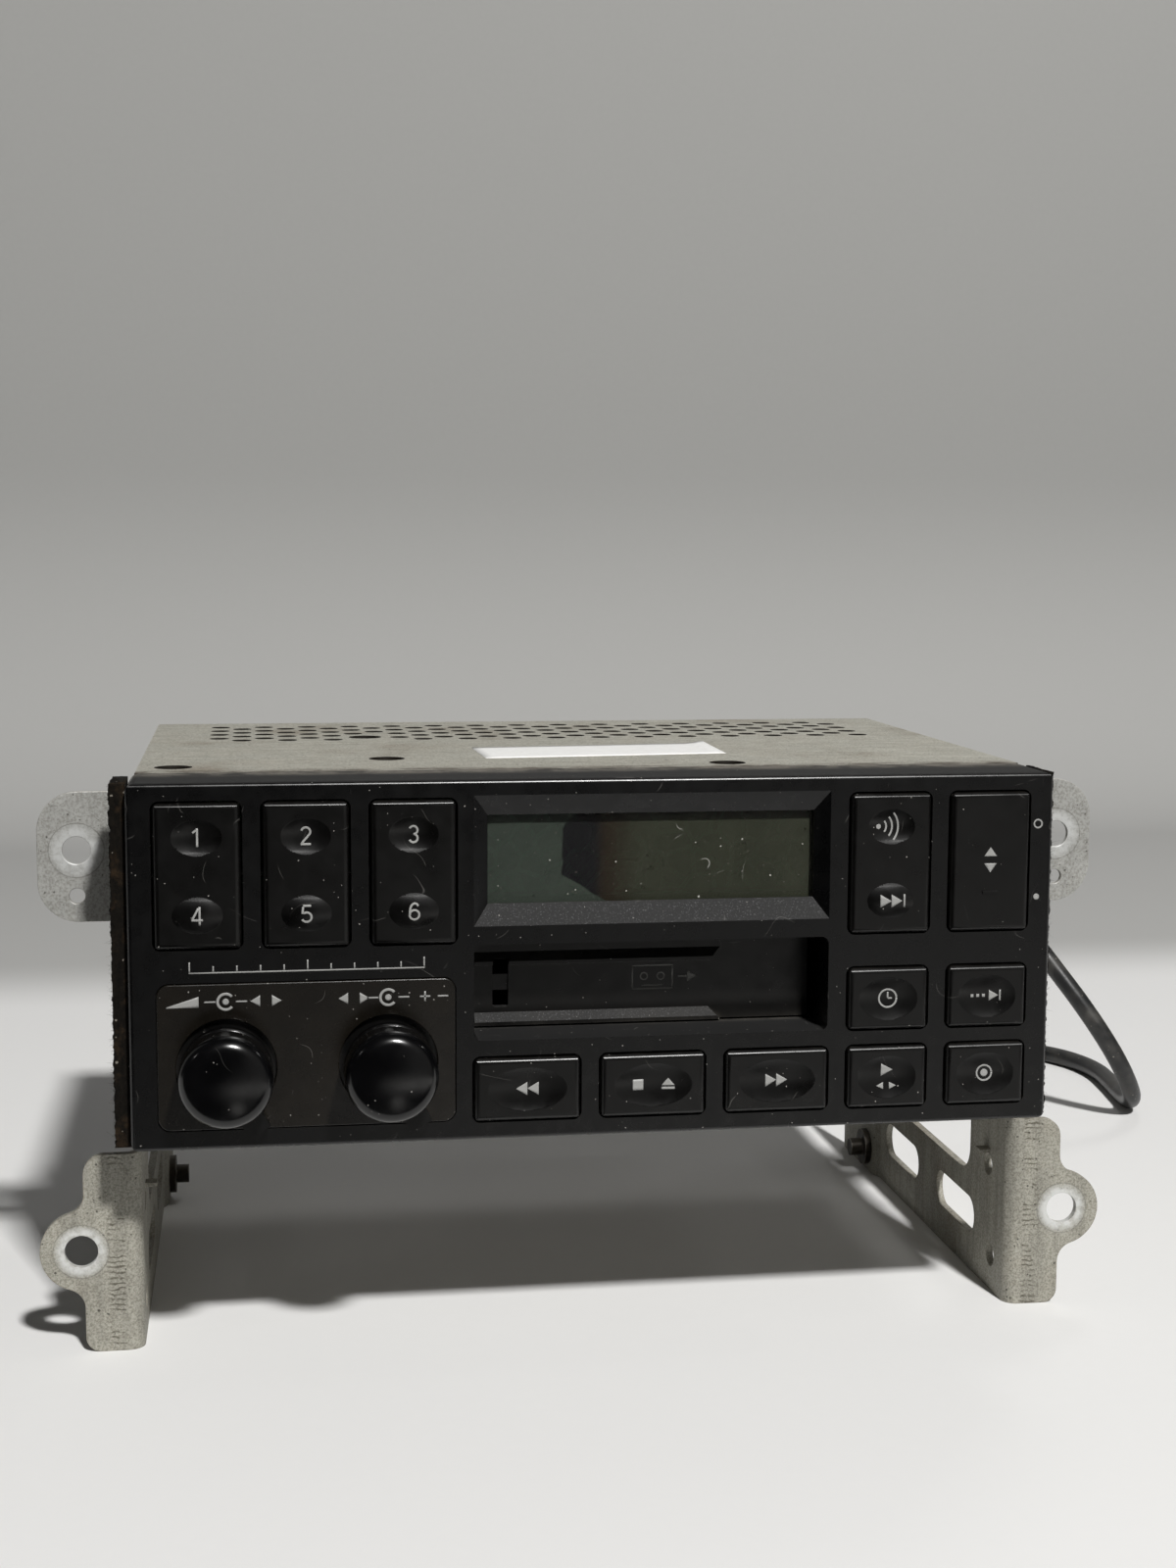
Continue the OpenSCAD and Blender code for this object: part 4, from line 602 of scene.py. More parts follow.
DUST: Colour = (0.36, 0.33, 0.28)
SCRATCH_PALE: Colour = (0.3, 0.29, 0.27)
SPECK_PALE: Colour = (0.42, 0.4, 0.37)
GLINT_GREY: Colour = (0.14, 0.14, 0.145)
PIT_DARK: Colour = (0.035, 0.03, 0.024)
PEPPER_BROWN: Colour = (0.42, 0.4, 0.36)
STROKE_BROWN: Colour = (0.3, 0.28, 0.24)
HOLE_SHADE_TONE: Colour = (0.02, 0.016, 0.012)
GRIME_BROWN: Colour = (0.042, 0.028, 0.016)
RUBBED_PALE: Colour = (0.64, 0.65, 0.64)
RING_DARK: Colour = (0.12, 0.115, 0.1)
FELT_RUST: Colour = (0.06, 0.036, 0.018)
FULL_TURN = 6.2832


def tinted(colour: Colour, share: float) -> Colour:
    """Gives a colour times a share."""
    return tuple(c * share for c in colour)


class Finish:
    """A finish that builds its material once."""

    name: str

    def material(self) -> bpy.types.Material:
        """Gives the finish's material, building it the first time.

        Returns:
            The material.
        """
        made = bpy.data.materials.get(self.name)
        if not made:
            made = bpy.data.materials.new(self.name)
            made.use_nodes = True
            self.shade(Graph(made.node_tree))
        return made

    def shade(self, graph: Graph) -> None:
        """Adds the finish's own nodes."""
        raise NotImplementedError


@dataclass(frozen=True)
class MouldedFinish(Finish):
    """Moulded plastic with a fine grain, specks of dust and hair scratches.

    Slopes that look up between the two heights of grained are coarse and carry painted glints, level
    faces between the two depths of shelf gather dust, and faces that look down are painted in the
    tone of under, as light bounced up from below.
    """

    name: str
    colour: Colour
    roughness: float = 0.4
    grain: float = 0.00002
    specks: float = 0.4
    scratches: float = 0.4
    flat_dust: float = 0.25
    nook_dust: float = 0.5
    grained: tuple = ()
    under: float = 0.0
    shelf: tuple = ()

    def coarse(self, graph: Graph, z: Socket, up: Socket) -> Socket:
        """Gives the mask of the coarse slopes.

        Args:
            graph: The material's graph.
            z: Height.
            up: How far the surface looks up.

        Returns:
            The mask.
        """
        low, high = self.grained
        edge = 0.1 * MM
        inside = graph.times(graph.remap(z, low, low + edge), graph.fade(z, high - edge, high))
        return graph.times(inside, graph.remap(up, 0.2, 0.4))

    def shade(self, graph: Graph) -> None:
        """Colour with faint mottling, dust mixed over it, grain and scratches in the normal.

        Args:
            graph: The material's graph.
        """
        at = graph.place()
        _, y, z = graph.axes(at)
        up = graph.slope()
        level = graph.remap(up, 0.7, 0.95)
        mottle = graph.remap(graph.noise(at, 120.0, 4.0), 0.3, 0.75)
        base = graph.blend(mottle, self.colour, tinted(self.colour, 1.7))
        specks = graph.shared(SharedGroup.SPECKS, at, Scale=1500.0, Amount=self.specks)
        lines = graph.shared(SharedGroup.SCRATCHES, at, Scale=75.0, Amount=self.scratches)
        settled = graph.shared(SharedGroup.SETTLED, at, Flat=self.flat_dust, Nook=self.nook_dust)
        if self.shelf:
            patchy = graph.remap(graph.noise(at, 150.0, 5.0, 0.7), 0.35, 0.65, 0.1, 0.8)
            settled = graph.most(settled, graph.times(graph.remap(y, *self.shelf), level, patchy))
        layers = (settled, 0.55, DUST), (lines, 0.35, SCRATCH_PALE), (specks, 0.6, SPECK_PALE)
        for mask, share, tone in layers:
            base = graph.blend(graph.times(mask, share), base, tone)
        # Painted light: faces that look down are lightened to the tone of under, as if lit by light bounced
        # up from the floor.
        if self.under:
            base = graph.blend(graph.fade(up, -0.5, -0.25), base, (self.under,) * 3)
        uneven = graph.noise(at, 260.0, 3.0)
        rough = graph.remap(uneven, 0.2, 0.8, self.roughness - 0.04, self.roughness + 0.06)
        rough = graph.plus(rough, graph.times(graph.most(settled, specks), 0.35), clamp=True)
        grain = graph.noise(at, 2600.0, 2.0, 0.7)
        if self.shelf:
            rough = graph.most(rough, graph.times(level, 0.85))
        if self.grained:
            coarse = self.coarse(graph, z, up)
            rough = graph.most(rough, graph.times(coarse, 0.74))
            # Painted glints: pale flecks in the colour of coarse slopes that look up stand in for the lamp's
            # sparkle; the roughness and grain here are the plastic's own.
            glint = graph.remap(graph.noise(at, 3300.0, 2.0, 0.8), 0.56, 0.7)
            base = graph.blend(graph.times(glint, coarse, 0.5), base, GLINT_GREY)
            grain = graph.times(grain, graph.plus(graph.times(coarse, 4.0), 1.0))
        height = graph.minus(grain, graph.times(lines, 0.8))
        graph.feed({"Base Color": base, "Roughness": rough, "Normal": graph.bump(height, self.grain)})


@dataclass(frozen=True)
class SheetFinish(Finish):
    """Bare zinc-coated steel sheet with streaks, stains, dust and worn corners.

    ring is the distance from the middle, height and radius of a washer's mark on each side, comb
    the two edges and the pitch of a strip of strokes, grime the depths between which dirt fades,
    and painted_hole_band the heights between which the upright faces of holes are painted dark as shade.
    """

    name: str
    colour: Colour
    stain: Colour = (0.16, 0.12, 0.075)
    roughness: float = 0.48
    metallic: float = 0.75
    streak: float = 0.35
    staining: float = 0.35
    specks: float = 0.5
    flat_dust: float = 0.5
    nook_dust: float = 0.4
    along: Sequence = (1.0, 1.0, 0.12)
    pepper: float = 0.5
    ring: tuple = ()
    grime: tuple = ()
    comb: tuple = ()
    worn: Colour = (0.6, 0.58, 0.53)
    painted_hole_band: tuple = ()

    def strokes(self, graph: Graph, at: Socket) -> Socket:
        """Gives broken strokes across a strip: a sine up the sheet whose phase a noise moves.

        Args:
            graph: The material's graph.
            at: Coordinates.

        Returns:
            The mask.
        """
        inner, outer, pitch = self.comb
        x, _, z = graph.axes(at)
        side = graph.size(x)
        bent = graph.plus(z, graph.times(graph.noise(at, 420.0), 0.0016))
        wave = graph.math("SINE", graph.times(bent, FULL_TURN / pitch))
        broken = graph.remap(graph.noise(at, 300.0, 3.0), 0.4, 0.56)
        edges = graph.remap(side, inner, inner + 0.0006), graph.fade(side, outer - 0.0016, outer)
        return graph.times(graph.remap(wave, 0.2, 0.8), broken, *edges, 0.85)

    def dirt(self, graph: Graph, at: Socket) -> Socket:
        """Gives ragged dirt that fades away from the front edge.

        Args:
            graph: The material's graph.
            at: Coordinates.

        Returns:
            The mask.
        """
        near = graph.fade(graph.axes(at)[1], *self.grime)
        ragged = graph.remap(graph.noise(graph.stretch(at, (0.35, 1.0, 1.0)), 330.0, 7.0, 0.75), 0.38, 0.6)
        return graph.times(near, graph.plus(graph.times(ragged, 0.85), graph.times(near, 0.12)), clamp=True)

    def washer_mark(self, graph: Graph, at: Socket, base: Socket) -> Socket:
        """Rubs a round place pale and draws its dark edge.

        Args:
            graph: The material's graph.
            at: Coordinates.
            base: Colour under it.

        Returns:
            The new colour.
        """
        middle, height, radius = self.ring
        x, _, z = graph.axes(at)
        across = graph.minus(graph.size(x), middle)
        away = graph.math("SQRT", graph.squares(across, graph.minus(z, height)))
        patchy = graph.remap(graph.noise(at, 700.0, 4.0), 0.3, 0.6, 0.45, 1.0)
        pale = graph.fade(away, 0.7 * radius, 1.06 * radius)
        edge = graph.fade(graph.size(graph.minus(away, radius)), 0.0, 0.0002)
        base = graph.blend(graph.times(pale, patchy, 0.8), base, RUBBED_PALE)
        return graph.blend(graph.times(edge, patchy, 0.6), base, RING_DARK)

    def shade(self, graph: Graph) -> None:
        """Zinc tone with rolled streaks, brown stains and pale dust over it.

        Args:
            graph: The material's graph.
        """
        at = graph.place()
        rolled = graph.noise(graph.stretch(at, self.along), 420.0, 4.0, 0.6)
        streaks = graph.times(graph.remap(rolled, 0.35, 0.7), self.streak)
        base = graph.blend(streaks, self.colour, tinted(self.colour, 0.62))
        bloom = graph.shared(SharedGroup.CLOUDS, at, Scale=150.0, Low=0.45, High=0.7)
        base = graph.blend(graph.times(bloom, 0.3), base, tinted(self.colour, 1.35))
        stains = graph.shared(SharedGroup.CLOUDS, at, Scale=38.0, Low=0.52, High=0.72)
        stains = graph.times(stains, self.staining)
        base = graph.blend(stains, base, self.stain)
        pits = graph.shared(SharedGroup.SPECKS, at, Scale=1700.0, Amount=self.specks)
        base = graph.blend(graph.times(pits, 0.75), base, PIT_DARK)
        settled = graph.shared(SharedGroup.SETTLED, at, Flat=self.flat_dust, Nook=self.nook_dust, Reach=0.006)
        base = graph.blend(settled, base, DUST)
        fine = graph.remap(graph.noise(at, 2300.0, 3.0, 0.75), 0.4, 0.64)
        base = graph.blend(graph.times(fine, self.pepper), base, PEPPER_BROWN, "MULTIPLY")
        if self.comb:
            base = graph.blend(self.strokes(graph, at), base, STROKE_BROWN, "MULTIPLY")
        worn = graph.shared(SharedGroup.CORNERS, at, Width=0.0005, Amount=0.6)
        base = graph.blend(worn, base, self.worn)
        if self.painted_hole_band:
            # Painted shade: upright faces inside the sheet's holes in this band of heights are darkened, as
            # shade inside the holes.
            upright = graph.fade(graph.size(graph.slope()), 0.3, 0.7)
            hole_shade_mask = graph.times(upright, graph.remap(graph.axes(at)[2], *self.painted_hole_band))
            base = graph.blend(hole_shade_mask, base, HOLE_SHADE_TONE)
        if self.grime:
            dirt = self.dirt(graph, at)
            base = graph.blend(dirt, base, GRIME_BROWN)
            settled = graph.most(settled, dirt)
        if self.ring:
            base = self.washer_mark(graph, at, base)
        cover = graph.most(settled, stains, pits)
        rough = graph.remap(rolled, 0.2, 0.8, self.roughness - 0.08, self.roughness + 0.1)
        dusty = graph.times(graph.noise(at, 1700.0, 3.0, 0.7), settled)
        graph.feed({
            "Base Color": base,
            "Metallic": graph.times(graph.minus(1.0, cover, clamp=True), self.metallic),
            "Roughness": graph.plus(rough, graph.times(cover, 0.35), clamp=True),
            "Normal": graph.bump(graph.plus(graph.times(rolled, 0.5), dusty), 0.00006),
        })


@dataclass(frozen=True)
class TurnedFinish(Finish):
    """Clean machined metal with fine lines and a light tarnish."""

    name: str
    colour: Colour
    roughness: float = 0.3

    def shade(self, graph: Graph) -> None:
        """Metal tone with tarnish clouds and fine lines.

        Args:
            graph: The material's graph.
        """
        at = graph.place()
        tarnish = graph.shared(SharedGroup.CLOUDS, at, Scale=180.0, Low=0.4, High=0.7)
        base = graph.blend(graph.times(tarnish, 0.6), self.colour, tinted(self.colour, 0.55))
        fine = graph.noise(graph.stretch(at, (1.0, 1.0, 9.0)), 700.0, 3.0)
        rough = graph.remap(fine, 0.2, 0.8, self.roughness - 0.08, self.roughness + 0.12)
        normal = graph.bump(fine, 0.00001)
        graph.feed({"Base Color": base, "Metallic": 0.95, "Roughness": rough, "Normal": normal})


@dataclass(frozen=True)
class PaintFinish(Finish):
    """Thin printed paint, a little worn."""

    name: str
    colour: Colour
    wear: float = 0.25

    def shade(self, graph: Graph) -> None:
        """Paint tone with small worn places that go darker.

        Args:
            graph: The material's graph.
        """
        worn = graph.shared(SharedGroup.CLOUDS, graph.place(), Scale=900.0, Low=0.5, High=0.75)
        base = graph.blend(graph.times(worn, self.wear), self.colour, tinted(self.colour, 0.45))
        graph.feed({"Base Color": base, "Roughness": graph.remap(worn, 0.0, 1.0, 0.45, 0.6)})


@dataclass(frozen=True)
class FeltFinish(Finish):
    """Old felt: brown-black fibres with rusty and pale bits."""

    name: str
    colour: Colour

    def shade(self, graph: Graph) -> None:
        """Matted fibre tones, rough all over.

        Args:
            graph: The material's graph.
        """
        at = graph.place()
        matted = graph.noise(graph.stretch(at, (1.0, 1.0, 0.5)), 900.0, 5.0, 0.75)
        rusty = graph.shared(SharedGroup.CLOUDS, at, Scale=300.0, Low=0.5, High=0.72)
        base = graph.blend(graph.remap(matted, 0.3, 0.7), tinted(self.colour, 0.3), self.colour)
        base = graph.blend(graph.times(rusty, 0.35), base, FELT_RUST)
        pale = graph.shared(SharedGroup.SPECKS, at, Scale=1300.0, Amount=0.4)
        graph.feed({
            "Base Color": graph.blend(graph.times(pale, 0.5), base, DUST),
            "Roughness": 0.95,
            "Specular IOR Level": 0.15,
            "Normal": graph.bump(matted, 0.0004),
        })


@dataclass(frozen=True)
class JacketFinish(Finish):
    """Black cable jacket with a soft shine and a little dust."""

    name: str
    colour: Colour

    def shade(self, graph: Graph) -> None:
        """Dark rubber tone with dusty clouds.

        Args:
            graph: The material's graph.
        """
        at = graph.place()
        dusty = graph.shared(SharedGroup.CLOUDS, at, Scale=90.0, Low=0.45, High=0.75)
        base = graph.blend(graph.times(dusty, 0.12), self.colour, DUST)
        specks = graph.shared(SharedGroup.SPECKS, at, Scale=1500.0, Amount=0.35)
        graph.feed({
            "Base Color": graph.blend(graph.times(specks, 0.5), base, DUST),
            "Roughness": graph.remap(dusty, 0.0, 1.0, 0.36, 0.55),
            "Normal": graph.bump(graph.noise(at, 1500.0, 3.0), 0.00003),
        })


@dataclass(frozen=True)
class BoardFinish(Finish):
    """Circuit board: green lacquer over copper lines."""

    name: str
    colour: Colour

    def shade(self, graph: Graph) -> None:
        """Lacquer tone, lighter over the copper lines of a blocky pattern.

        Args:
            graph: The material's graph.
        """
        cells = graph.add("TexVoronoi", {"Vector": graph.place(), "Scale": 190.0}, feature="DISTANCE_TO_EDGE")
        lines = graph.fade(cells.outputs[0], 0.06, 0.1)
        graph.feed({
            "Base Color": graph.blend(lines, self.colour, tinted(self.colour, 1.9)),
            "Roughness": graph.remap(lines, 0.0, 1.0, 0.45, 0.3),
            "Normal": graph.bump(lines, 0.00004),
        })


@dataclass(frozen=True)
class LensFinish(Finish):
    """Clear display window with dust and fine scratches."""

    name: str
    clean: Colour = (0.02, 0.02, 0.018)
    marked: Colour = (0.55, 0.55, 0.5)

    def shade(self, graph: Graph) -> None:
        """Clear sheet that shows its dust, its scratches and a gloss that grows towards its edge.

        Args:
            graph: The material's graph.
        """
        at = graph.place()
        lines = graph.shared(SharedGroup.SCRATCHES, at, Scale=90.0, Amount=0.8)
        specks = graph.shared(SharedGroup.SPECKS, at, Scale=1400.0, Amount=0.32)
        marks = graph.most(graph.times(lines, 0.9), specks)
        outside = graph.minus(1.0, graph.add("NewGeometry").outputs["Backfacing"])
        gloss = graph.times(graph.add("Fresnel", {"IOR": 1.45}).outputs[0], outside)
        cover = graph.most(graph.times(gloss, 1.6), graph.times(marks, 0.75))
        graph.feed({
            "Base Color": graph.blend(marks, self.clean, self.marked),
            "Roughness": graph.remap(marks, 0.0, 1.0, 0.08, 0.6),
            "Alpha": graph.plus(cover, 0.03, clamp=True),
        })


@dataclass(frozen=True)
class LiquidCrystalFinish(Finish):
    """Display glass with a spreading dark stain, in millimetres from the middle of the glass."""

    name: str
    middle: Sequence
    stain_left: float = -17.4
    stain_right: float = -11.0
    clear: tuple[Colour, Colour] = ((0.05, 0.066, 0.051), (0.063, 0.08, 0.063))
    blot: tuple[Colour, Colour] = ((0.0105, 0.0105, 0.012), (0.032, 0.022, 0.013))
    olive: tuple[Colour, Colour] = ((0.044, 0.049, 0.031), (0.055, 0.06, 0.039))
    rim: Colour = (0.026, 0.021, 0.015)

    def shade(self, graph: Graph) -> None:
        """Grey-green glass, a dark blot with a brown fringe, and darker olive beyond it.

        Args:
            graph: The material's graph.
        """
        at = graph.place()
        scale = 1 / MM
        x, _, z = graph.axes(graph.stretch(at, (scale,) * 3, move=[-scale * m for m in self.middle]))
        ragged = graph.times(graph.minus(graph.noise(at, 200.0, 5.0), 0.5), 2.2)
        low = graph.times(graph.most(graph.minus(-3.4, z), 0.0), 1.6)
        high = graph.times(graph.most(graph.minus(z, 5.4), 0.0), 0.9)
        edge = graph.plus(low, high, self.stain_left)
        stained = graph.remap(graph.minus(graph.plus(x, ragged), edge), -0.25, 0.25)
        soft = graph.plus(x, graph.times(ragged, 0.5))
        fringe = graph.remap(soft, self.stain_right - 0.5, self.stain_right + 2.5)
        beyond = graph.remap(soft, self.stain_right + 1.0, self.stain_right + 10.0)
        cloud = graph.remap(graph.noise(at, 70.0, 5.0), 0.3, 0.7)
        olive = graph.blend(graph.times(cloud, 0.8), *self.olive)
        dark = graph.blend(beyond, graph.blend(fringe, *self.blot), olive)
        base = graph.blend(stained, graph.blend(cloud, *self.clear), dark)
        rim = graph.times(graph.remap(z, 6.6, 8.4), graph.remap(x, -14.0, -6.0))
        base = graph.blend(graph.times(rim, 0.5), base, self.rim)
        specks = graph.shared(SharedGroup.SPECKS, at, Scale=1500.0, Amount=0.4)
        graph.feed({
            "Base Color": graph.blend(graph.times(specks, 0.2), base, DUST),
            "Roughness": graph.remap(stained, 0.0, 1.0, 0.42, 0.34),
        })


@dataclass(frozen=True)
class LabelFinish(Finish):
    """Blank paper label."""

    name: str
    tones: tuple[Colour, Colour] = ((0.8, 0.8, 0.78), (0.86, 0.86, 0.85))

    def shade(self, graph: Graph) -> None:
        """White paper with faint fibres.

        Args:
            graph: The material's graph.
        """
        fibres = graph.noise(graph.place(), 700.0, 4.0, 0.7)
        base = graph.blend(graph.remap(fibres, 0.3, 0.7), *self.tones)
        graph.feed({"Base Color": base, "Roughness": graph.remap(fibres, 0.2, 0.8, 0.5, 0.65)})


@dataclass(frozen=True)
class StudioPaper(Finish):
    """Paper of the floor and wall: pale in front, greyer behind and upright."""

    name: str
    near: Colour = (0.8, 0.8, 0.795)
    far: Colour = (0.46, 0.46, 0.45)
    wall: Colour = (0.37, 0.37, 0.36)
    fibre: Colour = (0.6, 0.6, 0.58)
    end: Colour = (0.3, 0.3, 0.295)
    bounce_ahead: Colour = (0.1, 0.1, 0.1)
    bounce_behind: Colour = (0.16, 0.16, 0.16)

    def shade(self, graph: Graph) -> None:
        """Paper tones by place, darker to bounced light at both ends, and clear to gloss in front.

        Args:
            graph: The material's graph.
        """
        at = graph.place()
        _, y, z = graph.axes(at)
        light = graph.add("LightPath").outputs
        paper = graph.blend(graph.remap(y, 0.27, 0.36), self.near, self.far)
        paper = graph.blend(graph.remap(z, 0.0, 0.25), paper, self.wall)
        paper = graph.blend(graph.times(graph.noise(at, 300.0, 3.0), 0.06), paper, self.fibre)
        ahead, behind = graph.fade(y, -0.24, -0.16), graph.remap(y, 0.3, 0.45)
        for part, tone in ((ahead, self.bounce_ahead), (behind, self.bounce_behind)):
            paper = graph.blend(graph.times(part, light["Is Diffuse Ray"]), paper, tone)
        paper = graph.blend(graph.remap(y, -0.9, -0.3, 0.75, 0.0), paper, self.end)
        unseen = graph.times(graph.fade(y, -0.141, -0.111), light["Is Glossy Ray"])
        graph.feed({
            "Base Color": paper,
            "Alpha": graph.minus(1.0, unseen),
            "Roughness": 0.75,
            "Specular IOR Level": 0.1,
        })


# Finishes of this player

FACE_BLACK = MouldedFinish(
    "face black", (0.0007, 0.0007, 0.0008), 0.28, 0.000006, 0.24, 0.5, 0.012, 0.1,
    grained=(FACE.z + 0.0066, FACE.z + 0.0112), shelf=(FACE.y + 0.009, FACE.y + 0.017)
)
KEY_BLACK = MouldedFinish(
    "key black", (0.0007, 0.0006, 0.0005), 0.3, 0.000006, 0.24, 0.6, 0.008, 0.06,
    grained=(FACE.z + 0.0064, FACE.z + 0.0285)
)
PLATE_BROWN = MouldedFinish("plate brown", (0.0044, 0.0035, 0.0024), 0.25, 0.000006, 0.26, 0.6, 0.05, 0.1)
KNOB_GLOSS = MouldedFinish("knob gloss", (0.0012, 0.0012, 0.0014), 0.18, 0.000003, 0.26, 0.4, 0.0, 0.1)
RING_BLACK = MouldedFinish("ring black", (0.0012, 0.0012, 0.0011), 0.34, 0.00001, 0.24, 0.2, 0.02, 0.1)
# under paints the door's faces that look down lighter, as light bounced up from the floor.
DOOR_BLACK = MouldedFinish(
    "door black", (0.0022, 0.002, 0.0018), 0.3, 0.000006, 0.26, 0.4, 0.1, 0.2,
    grained=(FACE.z - 0.0158, FACE.z - 0.0062), under=0.22
)
SWITCH_GREY = MouldedFinish("switch grey", (0.05, 0.05, 0.05), 0.5)
NYLON = MouldedFinish("natural nylon", (0.66, 0.62, 0.53), 0.5, 0.00002, 0.2, 0.2, 0.2, 0.3)
SOFT_RUBBER = MouldedFinish("soft rubber", (0.016, 0.016, 0.017), 0.6, 0.00004, 0.3, 0.1, 0.2, 0.3)
COVER_ZINC = SheetFinish(
    "cover zinc", (0.51, 0.505, 0.445), staining=0.6, flat_dust=0.45, along=(0.2, 1.0, 1.0),
    roughness=0.5, metallic=0.4, pepper=0.75, grime=(FACE.y + 0.0186, FACE.y + 0.0246),
    painted_hole_band=(FACE.z + 0.0332, FACE.z + 0.0336)
)
SIDE_ZINC = SheetFinish(
    "side zinc", (0.4, 0.385, 0.35), staining=0.4, flat_dust=0.4, along=(1.0, 0.2, 1.0), metallic=0.6
)
BRACKET_ZINC = SheetFinish(
    "bracket zinc", (0.37, 0.36, 0.31), staining=0.3, flat_dust=0.3, nook_dust=0.0, streak=0.6,
    metallic=0.12, roughness=0.6, pepper=0.75, ring=(0.101, FACE.z - 0.0595, 0.0054),
    comb=(0.0922, 0.0966, 0.0011), worn=(0.13, 0.09, 0.055)
)
EAR_ZINC = SheetFinish(
    "ear zinc", (0.47, 0.47, 0.448), staining=0.15, flat_dust=0.2, metallic=0.4, pepper=0.6,
    ring=(0.101, FACE.z + 0.0189, 0.0054)
)
DARK_STEEL = SheetFinish(
    "dark steel", (0.03, 0.024, 0.017), staining=0.5, flat_dust=0.15, nook_dust=0.0, metallic=0.6
)
BRIGHT_STEEL = TurnedFinish("bright steel", (0.55, 0.54, 0.51), 0.32)
BRASS = TurnedFinish("turned brass", (0.62, 0.47, 0.2), 0.28)
SINK_ALLOY = TurnedFinish("sink alloy", (0.32, 0.32, 0.33), 0.42)
BOARD_GREEN = BoardFinish("board green", (0.03, 0.11, 0.05))
FELT = FeltFinish("old felt", (0.007, 0.0054, 0.0036))
JACKET = JacketFinish("cable jacket", (0.011, 0.0115, 0.012))
PRINT_WHITE = PaintFinish("print white", (0.31, 0.31, 0.3))
PRINT_DIM = PaintFinish("print dim", (0.2, 0.2, 0.19), 0.4)
LABEL = LabelFinish("paper label")
LENS = LensFinish("display lens")
PAPER = StudioPaper("studio paper")

NODE_FINISHES: dict[Finish, tuple[str, ...]] = {
    RING_BLACK: ("fader_ring", "balance_ring"),
    SWITCH_GREY: ("push_switches",),
    NYLON: ("pull_slider", "reel_spindle_front", "reel_spindle_rear", "rear_socket"),
    SOFT_RUBBER: ("pinch_roller_front", "pinch_roller_rear", "drive_belt", "aerial_gland"),
    SIDE_ZINC: ("bottom_cover", "deck_frame", "cassette_carriage", "head_plate", "tuner_can"),
    DARK_STEEL: ("locating_studs",),
    BRIGHT_STEEL: (
        "volume_shaft", "tone_shaft", "volume_control", "tone_control", "door_pin", "small_screws",
        "side_screws", "tape_head", "deck_motor", "aerial_socket"
    ),
    BRASS: ("flywheel_front", "flywheel_rear", "motor_pulley"),
    BOARD_GREEN: ("front_board", "main_board"),
    SINK_ALLOY: ("heat_sink",),
    LENS: ("display_lens",),
}


# Printed marks

STRIP_ACROSS = 5
STRIP_ALONG = 9
RING_ALONG = 41
KEY_FRONT = -0.9


class Relief(Enum):
    """How the surface under a mark is shaped."""

    FLAT = "flat"
    HOLLOW = "hollow"
    RAISED = "raised"


@dataclass(frozen=True)
class OvalSeat:
    """Part of a key's front with an oval, which a printed mark follows.

    A hollow oval is where a barrel of radius rz across and rx along dips d under the front, so
    its depth is d - rz + sqrt((rz - rx + sqrt(rx^2 - x^2))^2 - z^2). A raised one is its mirror.
    """

    x: float
    z: float
    width: float = 9.5
    height: float = 7.0
    depth: float = 0.7
    front: float = KEY_FRONT
    relief: Relief = Relief.HOLLOW

    def dip(self, x: np.ndarray, z: np.ndarray) -> np.ndarray:
        """Gives the depth of the front at places measured from the oval's middle.

        Args:
            x: Distances to the right, in millimetres.
            z: Distances up, in millimetres.

        Returns:
            Depth behind the face, in millimetres.
        """
        if self.relief is Relief.FLAT:
            return np.full_like(x, self.front)
        rx, rz = (((side / 2) ** 2 + self.depth**2) / (2 * self.depth) for side in (self.width, self.height))
        across = rz - rx + np.sqrt(np.maximum(rx**2 - x**2, 0))
        drop = self.depth - rz + np.sqrt(np.maximum(across**2 - z**2, 0))
        drop = np.maximum(drop, 0)
        return self.front + (drop if self.relief is Relief.HOLLOW else -drop)


def flat_seat(x: float, z: float, front: float) -> OvalSeat:
    """Gives a seat on a flat front."""
    return OvalSeat(x, z, front=front, relief=Relief.FLAT)


def strip(inner: np.ndarray, outer: np.ndarray) -> Surface:
    """Fills the band between two lines of equal count, straight across.

    Args:
        inner: Points of the first line.
        outer: Points of the second line.

    Returns:
        Flat points and faces.
    """
    t = np.linspace(0, 1, STRIP_ACROSS)[:, None, None]
    points = inner[None] * (1 - t) + outer[None] * t
    return points.reshape(-1, 2), grid_faces(STRIP_ACROSS, len(inner))


def sloped(x0: float, x1: float, low: tuple, high: tuple) -> Surface:
    """Fills the shape between two straight lines from x0 to x1, each given by its two heights."""
    x = np.linspace(x0, x1, STRIP_ALONG)
    return strip(*(np.stack([x, np.linspace(*ends, STRIP_ALONG)], -1) for ends in (low, high)))


def bar(x0: float, z0: float, x1: float, z1: float) -> Surface:
    """Fills a rectangle from its low corner to its high corner."""
    return sloped(x0, x1, (z0, z0), (z1, z1))


def triangle(x: float, z: float, width: float, height: float) -> Surface:
    """Fills a triangle that points along +X from its base at x, or along -X for a negative width.

    Args:
        x: Place of the base.
        z: Height of the middle.
        width: Distance from base to point.
        height: Length of the base.

    Returns:
        Flat points and faces.
    """
    t = np.linspace(0, 1, STRIP_ALONG)
    low = np.stack([x + width * t, z - height / 2 * (1 - t)], -1)
    high = np.stack([x + width * t, z + height / 2 * (1 - t)], -1)
    return strip(low, high)


def upward(shape: Surface) -> Surface:
    """Turns a mark that points along +X so that it points up."""
    points, faces = shape
    return np.stack([-points[:, 1], points[:, 0]], -1), faces


def ring(x: float, z: float, inner: float, outer: float, start: float = 0.0, end: float = 360.0) -> Surface:
    """Fills a ring or part of one between two radii."""
    return strip(*(arc((x, z), radius, start, end, RING_ALONG) for radius in (inner, outer)))


